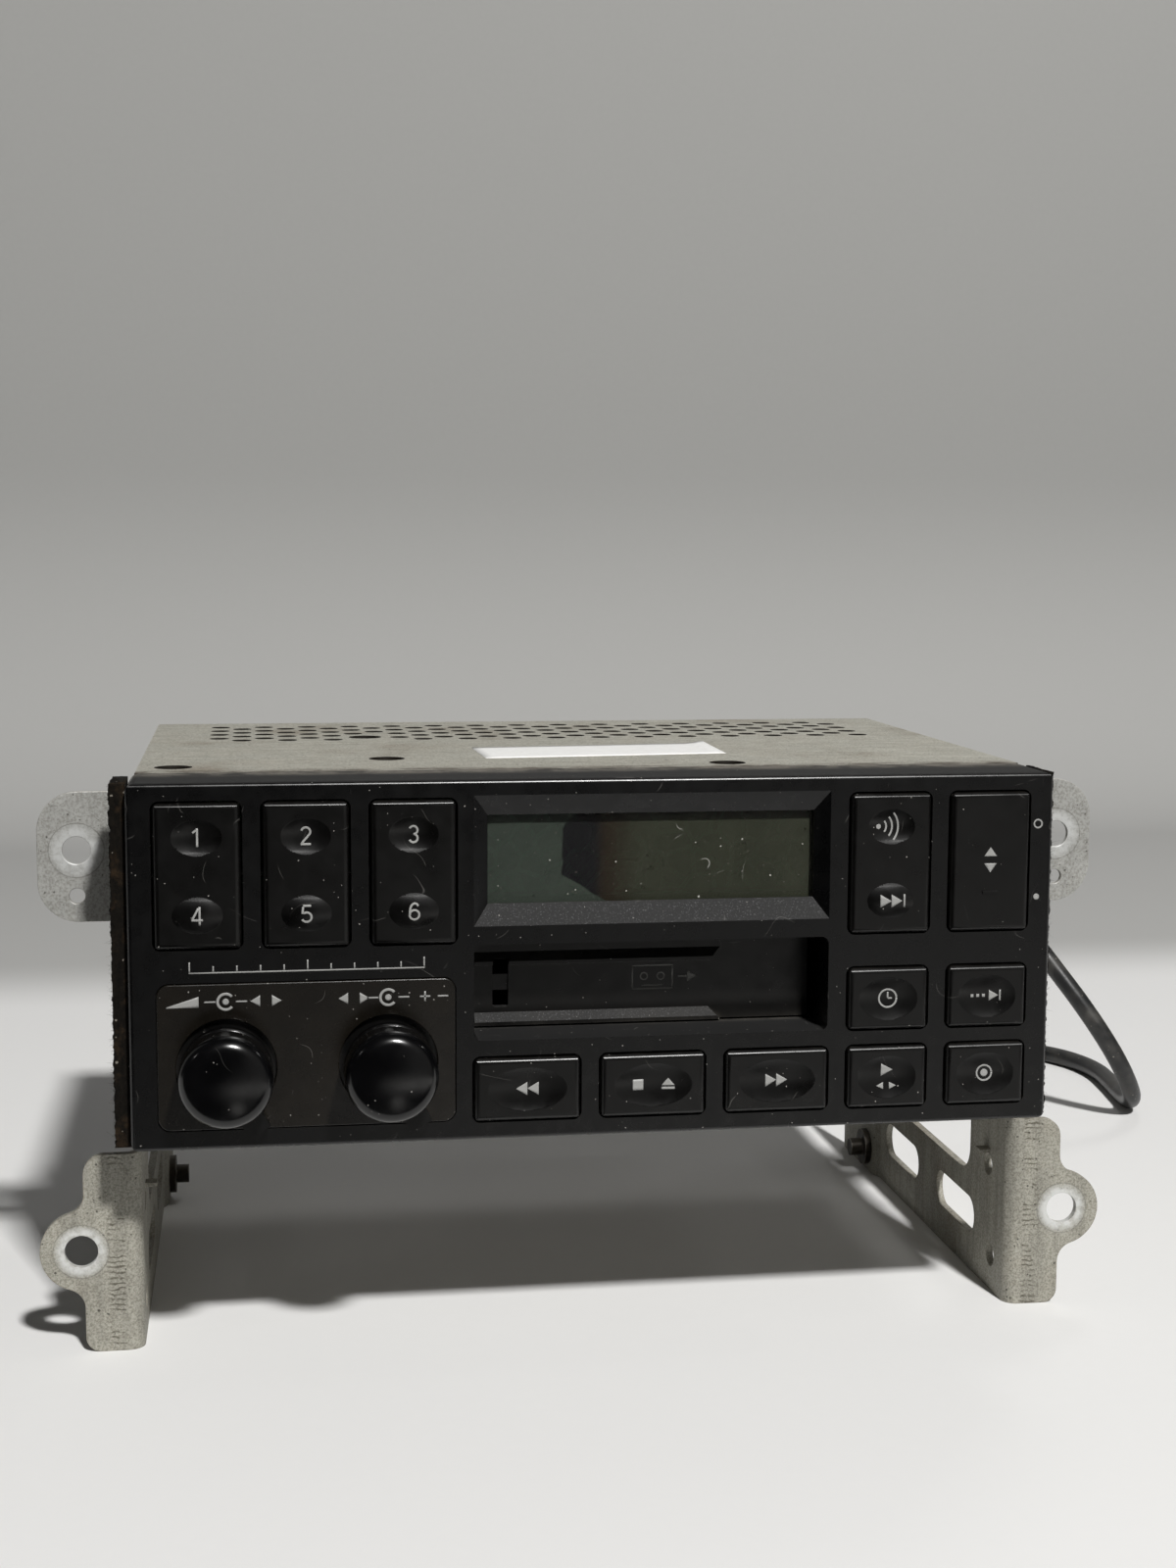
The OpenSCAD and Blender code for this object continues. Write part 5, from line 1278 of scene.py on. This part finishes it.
def stroke(path: np.ndarray | Sequence, width: float) -> Surface:
    """Carries a short straight line square to a path along it, with mitred corners.

    Each side is the path moved by half the width along the mean of the two squares next to a
    point, lengthened by one over the cosine of half the turn.

    Args:
        path: Points of the middle line.
        width: Width of the stroke.

    Returns:
        Flat points and faces.
    """
    path = np.asarray(path, float)
    along = np.diff(path, axis=0)
    along /= np.linalg.norm(along, axis=1)[:, None]
    before = np.concatenate([along[:1], along])
    after = np.concatenate([along, along[-1:]])
    mean = before + after
    mean /= np.linalg.norm(mean, axis=1)[:, None]
    square = np.stack([-mean[:, 1], mean[:, 0]], -1)
    reach = width / 2 / np.maximum((mean * after).sum(1), 0.5)
    side = square * reach[:, None]
    return strip(path - side, path + side)


def line(x0: float, z0: float, x1: float, z1: float) -> np.ndarray:
    """Gives points on a straight line."""
    return np.array([x0, z0]) + np.linspace(0, 1, STRIP_ALONG)[:, None] * np.array([x1 - x0, z1 - z0])


def numeral(digit: int, height: float, width: float) -> tuple[Surface, ...]:
    """Draws a number from one to six with an even stroke, middle at zero.

    Args:
        digit: The number.
        height: Height, in millimetres.
        width: Width of the stroke, in millimetres.

    Returns:
        Its strokes as flat points and faces.
    """
    hook = arc((0.0, 0.22), 0.24, 165, -38, 25)
    slant = line(*hook[-1], -0.22, -0.39)[1:]
    bend = [[0.21, 0.3], [0.11, 0.42], [-0.04, 0.43], [-0.18, 0.29], [-0.245, 0.02], [-0.245, -0.18]]
    paths = {
        1: (line(0.04, -0.5, 0.04, 0.5), line(-0.2, 0.25, -0.01, 0.4)),
        2: (np.concatenate([hook, slant]), line(-0.28, -0.44, 0.27, -0.44)),
        3: (arc((-0.01, 0.22), 0.22, 155, -90, 25), arc((-0.01, -0.215), 0.225, 90, -158, 25)),
        4: (line(0.12, -0.5, 0.12, 0.5), line(0.06, 0.42, -0.27, -0.18), line(-0.32, -0.22, 0.29, -0.22)),
        5: (
            line(-0.2, 0.44, 0.24, 0.44), line(-0.19, 0.38, -0.225, 0.0),
            arc((-0.005, -0.18), 0.26, 128, -155, 29)
        ),
        6: (spline(np.array(bend), 0.03), arc((0.0, -0.18), 0.26, 180, -180, 41)),
    }
    return tuple(stroke(path * height, width) for path in paths[digit])


@dataclass(frozen=True)
class PrintedMark:
    """A thin printed mark that follows the seat under it."""

    name: str
    body: str
    seat: OvalSeat
    shapes: Sequence[Surface]
    finish: Finish = PRINT_WHITE
    lift: float = 0.02
    film: float = 0.03

    def build(self) -> bpy.types.Object:
        """Lays the mark on its seat.

        Returns:
            The piece.
        """
        flat, faces = join(self.shapes)
        y = self.seat.dip(flat[:, 0], flat[:, 1]) - self.lift
        points = np.stack([flat[:, 0] + self.seat.x, y, flat[:, 1] + self.seat.z], -1)
        piece = make_piece(self.name, FACE.metres(points), faces, self.finish, self.body)
        film = piece.modifiers.new("film", "SOLIDIFY")
        film.thickness = self.film * MM
        film.offset = 0.0
        return piece


# Sub-assemblies

@dataclass
class AerialLead:
    """Aerial lead from the gland at the back, down to the floor and behind the player.

    A step is its distance right of and behind the gland, the share of the gland's height above
    the floor, and the share of the rise to its socket.
    """

    radius: float = 2.5
    gland: tuple = (74.0, 136.0, 12.05)
    floor: float = -77.5
    plug_rise: float = 2.25
    spacing: float = 1.6
    sides: int = 20
    steps: tuple = (
        (0, 0, 1, 0), (0, 11, 1, 0), (3, 22, 0.995, 0), (10, 31, 0.975, 0), (20, 36.5, 0.945, 0),
        (32, 38, 0.893, 0), (44, 37, 0.82, 0), (55, 34, 0.73, 0), (65, 30, 0.636, 0), (73, 25.5, 0.536, 0),
        (79, 21, 0.441, 0), (84.8, 17, 0.346, 0), (90.4, 14.4, 0.249, 0), (94.8, 13.8, 0.168, 0),
        (98.6, 15.4, 0.095, 0), (101.6, 19.4, 0.039, 0), (103.6, 26, 0.007, 0), (105, 34.5, 0, 0),
        (107, 47, 0, 0), (108.3, 59, 0, 0), (107.2, 70, 0, 0), (103.3, 80, 0, 0), (96.5, 88, 0, 0),
        (87, 92.5, 0, 0), (76, 94, 0, 0), (66, 93.6, 0, 0), (56, 92.8, 0, 0.15), (45, 92, 0, 0.6),
        (36, 92, 0, 1), (30, 92, 0, 1)
    )

    def line(self) -> np.ndarray:
        """Gives the lead's centre line.

        Returns:
            Points along the line, in metres.
        """
        s = np.array(self.steps, float)
        x = self.gland[0] + s[:, 0]
        y = self.gland[1] + s[:, 1]
        z = self.floor + s[:, 2] * (self.gland[2] - self.floor) + s[:, 3] * self.plug_rise
        return FACE.metres(spline(np.stack([x, y, z], -1), self.spacing))

    def build(self) -> list[bpy.types.Object]:
        """Makes the lead and hides the imported one.

        Returns:
            The lead.
        """
        line = self.line()
        points, faces = tube(line, self.radius * MM, self.sides)
        lead = make_piece("aerial_lead_jacket", points, faces, JACKET)
        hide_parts("aerial_lead")
        return [lead]


@dataclass(frozen=True)
class Lamp:
    """One soft square lamp that points at the player, in metres and watts."""

    name: str
    place: tuple
    size: float
    power: float
    colour: Colour
    target: tuple = (0.0, 0.0, 0.08)

    def hang(self) -> None:
        """Hangs the lamp and turns it to its target."""
        data = bpy.data.lights.new(self.name, "AREA")
        data.shape = "SQUARE"
        data.size = self.size
        data.energy = self.power
        data.color = self.colour
        holder = stand(self.name, data)
        holder.location = self.place
        holder.rotation_euler = (Vector(self.target) - Vector(self.place)).to_track_quat("-Z", "Y").to_euler()


@dataclass
class Studio:
    """Camera, floor, backdrop and lamps. The sweep's sizes are metres."""

    eye: tuple = (-65.9, -402.5, 80.3)
    yaw: float = 0.1545
    pitch: float = 0.1135
    roll: float = 0.0045
    focal_px: float = 2192.0
    image_px: tuple = (1200, 1600)
    sweep_front: float = -1.6
    sweep_back: float = 0.85
    sweep_bend: float = 0.2
    sweep_top: float = 2.4
    sweep_half: float = 2.2
    sweep_steps: int = 17
    sweep_columns: int = 5
    near_clip: float = 0.01
    lamps: tuple = (
        Lamp("front lamp", (0.396, -1.656, 1.81), 0.16, 71.0, (1.0, 0.99, 0.975)),
        Lamp("back lamp", (0.5, 0.73, 1.0), 0.25, 1.15, (1.0, 0.985, 0.96)),
        Lamp("left lamp", (-0.97, -0.4, 0.67), 0.06, 0.12, (1.0, 0.99, 0.97)),
        Lamp("right lamp", (0.98, -0.04, 0.77), 0.06, 0.2, (1.0, 0.99, 0.97)),
    )
    dim: Colour = (0.012, 0.012, 0.012)
    glow: Colour = (1.0, 0.98, 0.94)
    sky: Colour = (0.02, 0.02, 0.0195)
    backdrop: Colour = (0.42, 0.42, 0.41)

    def camera(self) -> None:
        """Sets the camera at the photograph's angle: rows of the turn are its right, forward and up."""
        tilt = Matrix.Rotation(self.roll, 3, "Y") @ Matrix.Rotation(self.pitch, 3, "X")
        turn = tilt @ Matrix.Rotation(self.yaw, 3, "Z")
        right, forward, up = (Vector(turn[i]) for i in range(3))
        data = bpy.data.cameras.new("camera")
        data.lens = self.focal_px / max(self.image_px) * data.sensor_width
        data.clip_start = self.near_clip
        matrix = Matrix((right, up, -forward)).transposed().to_4x4()
        matrix.translation = Vector(FACE.metres(self.eye))
        holder = stand("camera", data)
        holder.matrix_world = matrix
        bpy.context.scene.camera = holder

    def sweep(self) -> None:
        """Makes the floor and wall as one sheet: flat, then a quarter circle, then upright."""
        middle = self.sweep_back - self.sweep_bend, self.sweep_bend
        bend = arc(middle, self.sweep_bend, -90, 0, self.sweep_steps)
        floor = [[self.sweep_front, 0.0], [0.0, 0.0]]
        profile = np.concatenate([floor, bend, [[self.sweep_back, self.sweep_top]]])
        x = np.linspace(-self.sweep_half, self.sweep_half, self.sweep_columns)
        points = np.stack(np.broadcast_arrays(x[None, :], profile[:, :1], profile[:, 1:]), -1).reshape(-1, 3)
        mesh = smooth_mesh("studio_floor", points, grid_faces(len(profile), len(x)), PAPER)
        stand("studio_floor", mesh)

    def world(self) -> None:
        """Fills in from all round, dim with a glow low in front, and stands as a pale backdrop itself."""
        world = bpy.data.worlds.new("studio world")
        world.use_nodes = True
        bpy.context.scene.world = world
        graph = Graph(world.node_tree)
        x, y, z = graph.axes(graph.add("TexCoord").outputs["Generated"])
        above = graph.remap(graph.plus(graph.times(z, 0.8), graph.times(y, 0.6)), -0.1, 1.0)
        band = graph.times(graph.remap(z, -0.42, -0.32), graph.fade(z, -0.29, -0.18))
        band = graph.times(band, graph.remap(x, -0.2, 0.25, 0.0, 1.2))
        side = graph.times(graph.remap(x, 0.1, 0.36, 0.0, 0.2), graph.remap(z, -0.4, -0.3))
        spot = graph.fade(graph.squares(graph.minus(x, 0.12), graph.plus(z, 0.52)), 0.0, 0.012)
        glow = graph.times(graph.most(band, side, spot), graph.fade(y, -0.5, -0.2))
        sky = graph.blend(above, graph.blend(glow, self.dim, self.glow), self.sky)
        sky = graph.blend(graph.add("LightPath").outputs["Is Camera Ray"], sky, self.backdrop)
        graph.put(world.node_tree.nodes["Background"].inputs["Color"], sky)

    def build(self) -> None:
        """Sets up the whole studio."""
        self.camera()
        self.sweep()
        self.world()
        for lamp in self.lamps:
            lamp.hang()
        bpy.context.scene.view_settings.view_transform = "Standard"


@dataclass
class FacePanel:
    """Front moulding, knob plate, cassette door and everything printed on them."""

    deck_x: float = 9.8
    slot_z: float = -6.2
    door_front: float = 12.0
    plate_x: float = -56.75
    plate_z: float = -17.03
    plate_front: float = -0.2
    knob_x: tuple = (-72.0, -41.5)
    sign_rise: float = 10.6
    scale_z: float = 0.3
    scale_half: float = 22.0
    tick_count: int = 11
    tick_step: float = 4.4
    tick_width: float = 0.25

    def marks(self) -> list[PrintedMark]:
        """Lists what is printed on the panel, the plate and the door.

        Returns:
            The marks.
        """
        ticks = [self.tick_step * i - self.scale_half for i in range(self.tick_count)]
        scale = [bar(x, -1.0, x + self.tick_width, 0.1 if i % 5 else 0.9) for i, x in enumerate(ticks)]
        scale.append(bar(-self.scale_half, -1.3, self.scale_half + self.tick_width, -1.05))
        lever = [
            ring(0, 0, 1.25, 1.75, 40, 320), ring(0, 0, 0.0, 0.6), bar(1.9, -0.15, 4.0, 0.15),
            bar(-4.0, -0.15, -1.9, 0.15)
        ]
        volume = lever + [
            sloped(-11, -5, (-1.0, -1.0), (-0.8, 1.1)), triangle(6.4, 0, -1.8, 2.2),
            triangle(8.6, 0, 1.8, 2.2)
        ]
        tone = lever + [
            triangle(-7.6, 0, -1.8, 2.2), triangle(-5.4, 0, 1.8, 2.2), bar(6.0, -0.15, 8.0, 0.15),
            bar(6.85, -1.0, 7.15, 1.0), bar(9.4, -0.15, 11.4, 0.15)
        ]
        shell = [
            bar(-4.2, 2.2, 4.2, 2.5), bar(-4.2, -2.5, 4.2, -2.2), bar(-4.2, -2.2, -3.9, 2.2),
            bar(3.9, -2.2, 4.2, 2.2), ring(-1.7, 0.2, 0.55, 0.85), ring(1.7, 0.2, 0.55, 0.85),
            bar(-2.2, -1.75, 2.2, -1.5), triangle(7.0, 0, 1.9, 2.4), bar(5.2, -0.2, 7.0, 0.2)
        ]
        panel = flat_seat(self.plate_x, self.scale_z, 0.0)
        left, right = (flat_seat(x, self.plate_z + self.sign_rise, self.plate_front) for x in self.knob_x)
        door = flat_seat(self.deck_x + 2.0, self.slot_z - 0.2, self.door_front)
        return [
            PrintedMark("tuning_scale_print", "player", panel, scale),
            PrintedMark("volume_print", "player", left, volume),
            PrintedMark("tone_print", "player", right, tone),
            PrintedMark("door_print", "door", door, shell, PRINT_DIM),
        ]

    def build(self) -> list[bpy.types.Object]:
        """Dresses the panel, plate, door and display.

        Returns:
            The pieces.
        """
        low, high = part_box("display_module")
        glass = LiquidCrystalFinish("display glass", tuple((low + high) / 2))
        dress(frame["nodes"]["display_module"].data, glass)
        pieces = [
            merged_copy("front_panel", FACE_BLACK, sharp=20.0, rim=0.5),
            merged_copy("knob_plate", PLATE_BROWN, bevel=0.15),
            merged_copy("cassette_door", DOOR_BLACK, bevel=0.12),
        ]
        return pieces + [mark.build() for mark in self.marks()]


@dataclass
class KeyBank:
    """Rockers and push keys with their printed numbers and signs."""

    preset_x: tuple = (-76.95, -56.75, -36.55)
    band_x: float = 56.75
    tune_x: float = 76.95
    set_x: float = 86.9
    rocker_z: float = 17.5
    oval_step: float = 7.3
    transport_x: tuple = (-14.8333, 9.8, 34.4333)
    transport_oval: float = 15.5333
    small_oval: float = 12.1
    oval_height: float = 8.7
    key_z: float = -25.1
    upper_z: float = -9.4
    type_height: float = 3.5
    type_stroke: float = 0.4

    def number_marks(self) -> list[PrintedMark]:
        """Numbers one to six on the preset rockers.

        Returns:
            The marks.
        """
        marks = []
        for row, relief in enumerate((Relief.HOLLOW, Relief.RAISED)):
            for i, x in enumerate(self.preset_x):
                z = self.rocker_z + (self.oval_step if row == 0 else -self.oval_step)
                digit = 1 + i + 3 * row
                shapes = numeral(digit, self.type_height, self.type_stroke)
                seat = OvalSeat(x, z, relief=relief)
                marks.append(PrintedMark(f"number_{digit}_print", f"preset_rocker_{i + 1}", seat, shapes))
        return marks

    def sign_marks(self) -> list[PrintedMark]:
        """Plain signs on the other rockers and the push keys.

        Returns:
            The marks.
        """
        up, down = self.rocker_z + self.oval_step, self.rocker_z - self.oval_step
        forward = [triangle(0, 0, 2.2, 2.6), triangle(-2.2, 0, 2.2, 2.6)]
        waves = [ring(-2.6, 0, r, r + 0.35, -42, 42) for r in (1.4, 2.6, 3.8)] + [ring(-2.6, 0, 0, 0.5)]
        tune = [upward(triangle(0.7, 0, 1.8, 2.6)), upward(triangle(-0.7, 0, -1.8, 2.6))]
        fixed = (
            ("band", "band_rocker", OvalSeat(self.band_x, up), waves),
            (
                "memory_scan", "band_rocker", OvalSeat(self.band_x, down, relief=Relief.RAISED),
                forward + [bar(2.5, -1.3, 2.85, 1.3)]
            ),
            ("tune", "tune_rocker", flat_seat(self.tune_x, self.rocker_z + 0.4, KEY_FRONT), tune),
            ("hour", "player", flat_seat(self.set_x, up, 0.0), [ring(0, 0, 0.65, 0.95)]),
            ("minute", "player", flat_seat(self.set_x, down, 0.0), [ring(0, 0, 0, 0.6)]),
        )
        eject = [upward(triangle(-0.3, -3.0, 1.5, 2.6)), bar(1.7, -1.05, 4.3, -0.6)]
        dots = [bar(-3.2 + 1.2 * i, -0.3, -2.6 + 1.2 * i, 0.3) for i in range(3)]
        wide, small = self.transport_oval, self.small_oval
        keys = (
            ("rewind", self.transport_x[0], self.key_z, wide, [triangle(x, 0, -2.2, 2.6) for x in (0, 2.2)]),
            ("stop", self.transport_x[1], self.key_z, wide, [bar(-4.0, -1.05, -1.9, 1.05), *eject]),
            ("forward", self.transport_x[2], self.key_z, wide, forward),
            (
                "play", self.band_x, self.key_z, small,
                [triangle(-1.1, 1.3, 2.4, 2.6)] + [triangle(0.6 * s, -1.9, 1.4 * s, 1.4) for s in (-1, 1)]
            ),
            (
                "clock", self.band_x, self.upper_z, small,
                [ring(0, 0, 1.6, 1.95), bar(-0.15, 0, 0.15, 1.25), bar(0, -0.15, 0.9, 0.15)]
            ),
            (
                "scan", self.tune_x, self.upper_z, small,
                dots + [triangle(0.6, 0, 1.9, 2.2), bar(2.7, -1.1, 3.0, 1.1)]
            ),
            ("store", self.tune_x, self.key_z, small, [ring(0, 0, 0.0, 0.75), ring(0, 0, 1.35, 1.7)]),
        )
        marks = [PrintedMark(f"{name}_print", body, seat, shapes) for name, body, seat, shapes in fixed]
        for name, x, z, width, shapes in keys:
            body = "memory_key" if name == "store" else f"{name}_key"
            marks.append(PrintedMark(f"{name}_print", body, OvalSeat(x, z, width, self.oval_height), shapes))
        return marks

    def build(self) -> list[bpy.types.Object]:
        """Dresses every key and prints on it.

        Returns:
            The pieces.
        """
        keys = [n for n in frame["nodes"] if "rocker" in n or n.endswith("_key")]
        skins = [merged_copy(key, KEY_BLACK) for key in keys]
        return skins + [mark.build() for mark in self.number_marks() + self.sign_marks()]


@dataclass
class ControlKnobs:
    """Two turned knobs: a crowned front, a round shoulder and a groove near the back.

    A row of groove is how far a point lies under the side and behind the groove's start.
    """

    places: tuple = (("volume_knob", -72.0, "volume"), ("tone_knob", -41.5, "tone"))
    z: float = -19.225
    radius: float = 8.75
    front: float = -14.0
    back: float = -3.5
    shoulder: float = 2.9
    crown: float = 30.0
    bore: float = 2.0
    bore_depth: float = 7.6
    groove_start: float = 3.35
    groove: tuple = ((0.0, 0.0), (0.12, 0.06), (0.42, 0.12), (0.42, 0.5), (0.1, 0.56), (0.0, 0.7))
    sides: int = 96
    sharp: float = 50.0

    def profile(self) -> np.ndarray:
        """Gives radius and depth from the middle of the front round to the bore at the back.

        The crown and the shoulder are two arcs that touch: the shoulder's centre lies on the line
        from the crown's centre to the point where they meet.

        Returns:
            Rows of radius and depth.
        """
        side = self.radius - self.shoulder
        meet = math.degrees(math.asin(side / (self.crown - self.shoulder)))
        depth = self.front + self.crown - math.sqrt((self.crown - self.shoulder) ** 2 - side**2)
        crown = arc((0, self.front + self.crown), self.crown, -90, meet - 90, 16)
        shoulder = arc((side, depth), self.shoulder, meet - 90, 0, 22)[1:]
        groove = np.array(self.groove) * [-1, 1] + [self.radius, self.back - self.groove_start]
        end = self.back - self.bore_depth
        tail = np.array([
            [self.radius, self.back - 0.4], [self.radius - 0.12, self.back - 0.1],
            [self.radius - 0.4, self.back], [self.bore + 0.1, self.back], [self.bore, self.back - 0.1],
            [self.bore, end], [0.0, end]
        ])
        return np.concatenate([crown, shoulder, groove, tail])

    def build(self) -> list[bpy.types.Object]:
        """Turns both knobs.

        Returns:
            The pieces.
        """
        pieces = []
        for node, x, body in self.places:
            points, faces = turned(self.profile(), self.sides)
            points = FACE.metres(points + [x, 0, self.z])
            knob = make_piece(node + "_turned", points, faces, KNOB_GLOSS, body)
            knob.data.set_sharp_from_angle(angle=math.radians(self.sharp))
            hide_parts(node)
            pieces.append(knob)
        return pieces


@dataclass
class MetalWork:
    """Chassis, covers, brackets and ears, with a blank label on the cover."""

    label_corners: tuple = ((-19.3, 62.1), (33.0, 67.0), (33.4, 44.0), (-18.6, 38.9))
    label_grid: tuple = (9, 25)
    label_gap: float = 0.06
    label_curl: float = 0.5
    curl_from: float = 0.9
    curl_run: float = 0.1
    label_thickness: float = 0.1
    cover_z: float = 35.0

    def label(self) -> bpy.types.Object:
        """Makes the label: a sheet between four corners whose right end lifts by a small parabola.

        Returns:
            The piece.
        """
        rows, columns = self.label_grid
        u, v = np.meshgrid(np.linspace(0, 1, columns), np.linspace(0, 1, rows))
        a, b, c, d = (np.array(p) for p in self.label_corners)
        u, v = u[..., None], v[..., None]
        flat = (a * (1 - u) + b * u) * (1 - v) + (d * (1 - u) + c * u) * v
        curled = np.clip((u[..., 0] - self.curl_from) / self.curl_run, 0, 1) ** 2 * (1 - v[..., 0])
        height = self.cover_z + (self.label_gap + self.label_curl * curled)
        points = np.stack([flat[..., 0], flat[..., 1], height], -1).reshape(-1, 3)
        piece = make_piece("blank_label", FACE.metres(points), grid_faces(rows, columns)[:, ::-1], LABEL)
        paper = piece.modifiers.new("paper", "SOLIDIFY")
        paper.thickness = self.label_thickness * MM
        return piece

    def build(self) -> list[bpy.types.Object]:
        """Dresses the metal.

        Returns:
            The pieces.
        """
        pieces = [merged_copy("top_cover", COVER_ZINC), merged_copy("chassis", SIDE_ZINC)]
        pieces += [merged_copy(side + "_bracket", BRACKET_ZINC, bevel=0.2) for side in ("left", "right")]
        pieces += [merged_copy(side + "_ear", EAR_ZINC, bevel=0.15) for side in ("left", "right")]
        return pieces + [self.label()]


@dataclass
class FeltStrips:
    """Felt on both sides of the skirt: a rough block with loose fibres."""

    inner: float = 90.0
    thickness: tuple = (3.4, 1.0)
    front: float = 3.0
    back: float = 16.0
    half_height: float = 34.7
    rows: int = 161
    columns: int = 26
    sunk: float = 0.12
    rough_out: float = 0.3
    rough_along: float = 0.16
    fibres: int = 420
    fibre_points: int = 4
    fibre_length: tuple = (0.4, 1.0)
    fibre_root: float = 0.4
    fibre_width: float = 0.02
    edge_share: float = 0.5
    edge_depth: float = 0.6
    random: np.random.Generator = field(default_factory=lambda: np.random.default_rng(SEED))

    def block(self, side: int) -> Surface:
        """Carries the strip's outline up the skirt, with a rough skin.

        The outline is a rectangle in X and Y. Each outer point moves by a random amount that is
        the mean of its own draw and its four neighbours' draws.

        Args:
            side: -1 for the left strip, 1 for the right.

        Returns:
            Points and faces in millimetres.
        """
        thick = self.thickness[side > 0]
        t = np.linspace(0, 1, self.columns)
        a, b, c, d = np.array([[0, self.front], [thick, self.front], [thick, self.back], [0, self.back]])
        edges = a + (b - a) * t[:-1:4, None], b + (c - b) * t[:-1, None], c + (d - c) * t[::4, None]
        outline = np.concatenate(edges)
        z = np.linspace(-self.half_height, self.half_height, self.rows)[:, None]
        rough = self.random.normal(0, 1, (2, len(z), len(outline)))
        for_mean = [rough] + [np.roll(rough, step, axis) for step in (1, -1) for axis in (1, 2)]
        rough = sum(for_mean) / len(for_mean)
        reach = np.clip(outline[None, :, 0] / thick, 0, 1)
        out = outline[None, :, 0] - self.sunk * thick * reach + self.rough_out * reach * rough[0]
        x = side * np.clip(self.inner + out, self.inner, None)
        y = outline[None, :, 1] + self.rough_along * reach * rough[1]
        points = np.stack([x, y, np.broadcast_to(z, x.shape)], -1)
        faces = capped_faces(*x.shape)
        return points.reshape(-1, 3), faces if side > 0 else [face[::-1] for face in faces]

    def fuzz(self, side: int) -> Surface:
        """Scatters short bent fibres over the outer face, each a narrow ribbon of three quads.

        Args:
            side: -1 for the left strip, 1 for the right.

        Returns:
            Points and faces in millimetres.
        """
        n, draw = self.fibres, self.random
        edge = draw.random(n) < self.edge_share
        near = self.front + draw.random(n) * self.edge_depth
        y = np.where(edge, near, draw.uniform(self.front, self.back, n))
        z = draw.uniform(-self.half_height, self.half_height, n)
        root = np.stack([np.full(n, self.inner + self.thickness[side > 0] - self.fibre_root), y, z], -1)
        lean = np.stack([draw.uniform(0.2, 1.0, n), draw.normal(0, 0.8, n), draw.normal(0, 0.9, n)], -1)
        bend = draw.normal(0, 0.5, (n, 3))
        length = draw.uniform(*self.fibre_length, (n, 1))
        t = np.linspace(0, 1, self.fibre_points)[None, :, None]
        middle = root[:, None] + length[:, None] * (lean[:, None] * t + bend[:, None] * t**2)
        width = np.array([0.0, self.fibre_width, self.fibre_width]) * (1.2 - t)
        points = np.stack([middle - width, middle + width], 2)
        points[..., 0] *= side
        first = np.arange(n)[:, None, None] * 2 * self.fibre_points
        faces = first + np.arange(self.fibre_points - 1)[None, :, None] * 2 + np.array([0, 1, 3, 2])
        return points.reshape(-1, 3), faces.reshape(-1, 4)

    def build(self) -> list[bpy.types.Object]:
        """Makes both strips and their fibres.

        Returns:
            The pieces.
        """
        points, faces = join([self.block(-1), self.block(1)])
        felt = make_piece("felt_strip_pads", FACE.metres(points), faces, FELT)
        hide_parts("felt_strips")
        points, faces = join([self.fuzz(-1), self.fuzz(1)])
        fuzz = make_piece("felt_fibres", FACE.metres(points), faces, FELT)
        return [felt, fuzz]


def dress_nodes() -> None:
    """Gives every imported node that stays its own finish."""
    for finish, nodes in NODE_FINISHES.items():
        for node in nodes:
            dress(frame["nodes"][node].data, finish)


def main() -> None:
    """Builds the studio and every sub-assembly, and reports each piece."""
    logging.basicConfig(level=logging.INFO, format="%(name)s: %(message)s")
    GroupShelf().build()
    Studio().build()
    for assembly in (AerialLead(), FacePanel(), KeyBank(), ControlKnobs(), MetalWork(), FeltStrips()):
        for piece in assembly.build():
            LOG.info("%s: %s with %d faces", type(assembly).__name__, piece.name, len(piece.data.polygons))
    dress_nodes()
    bpy.context.view_layer.update()


if __name__ == "__main__":
    main()
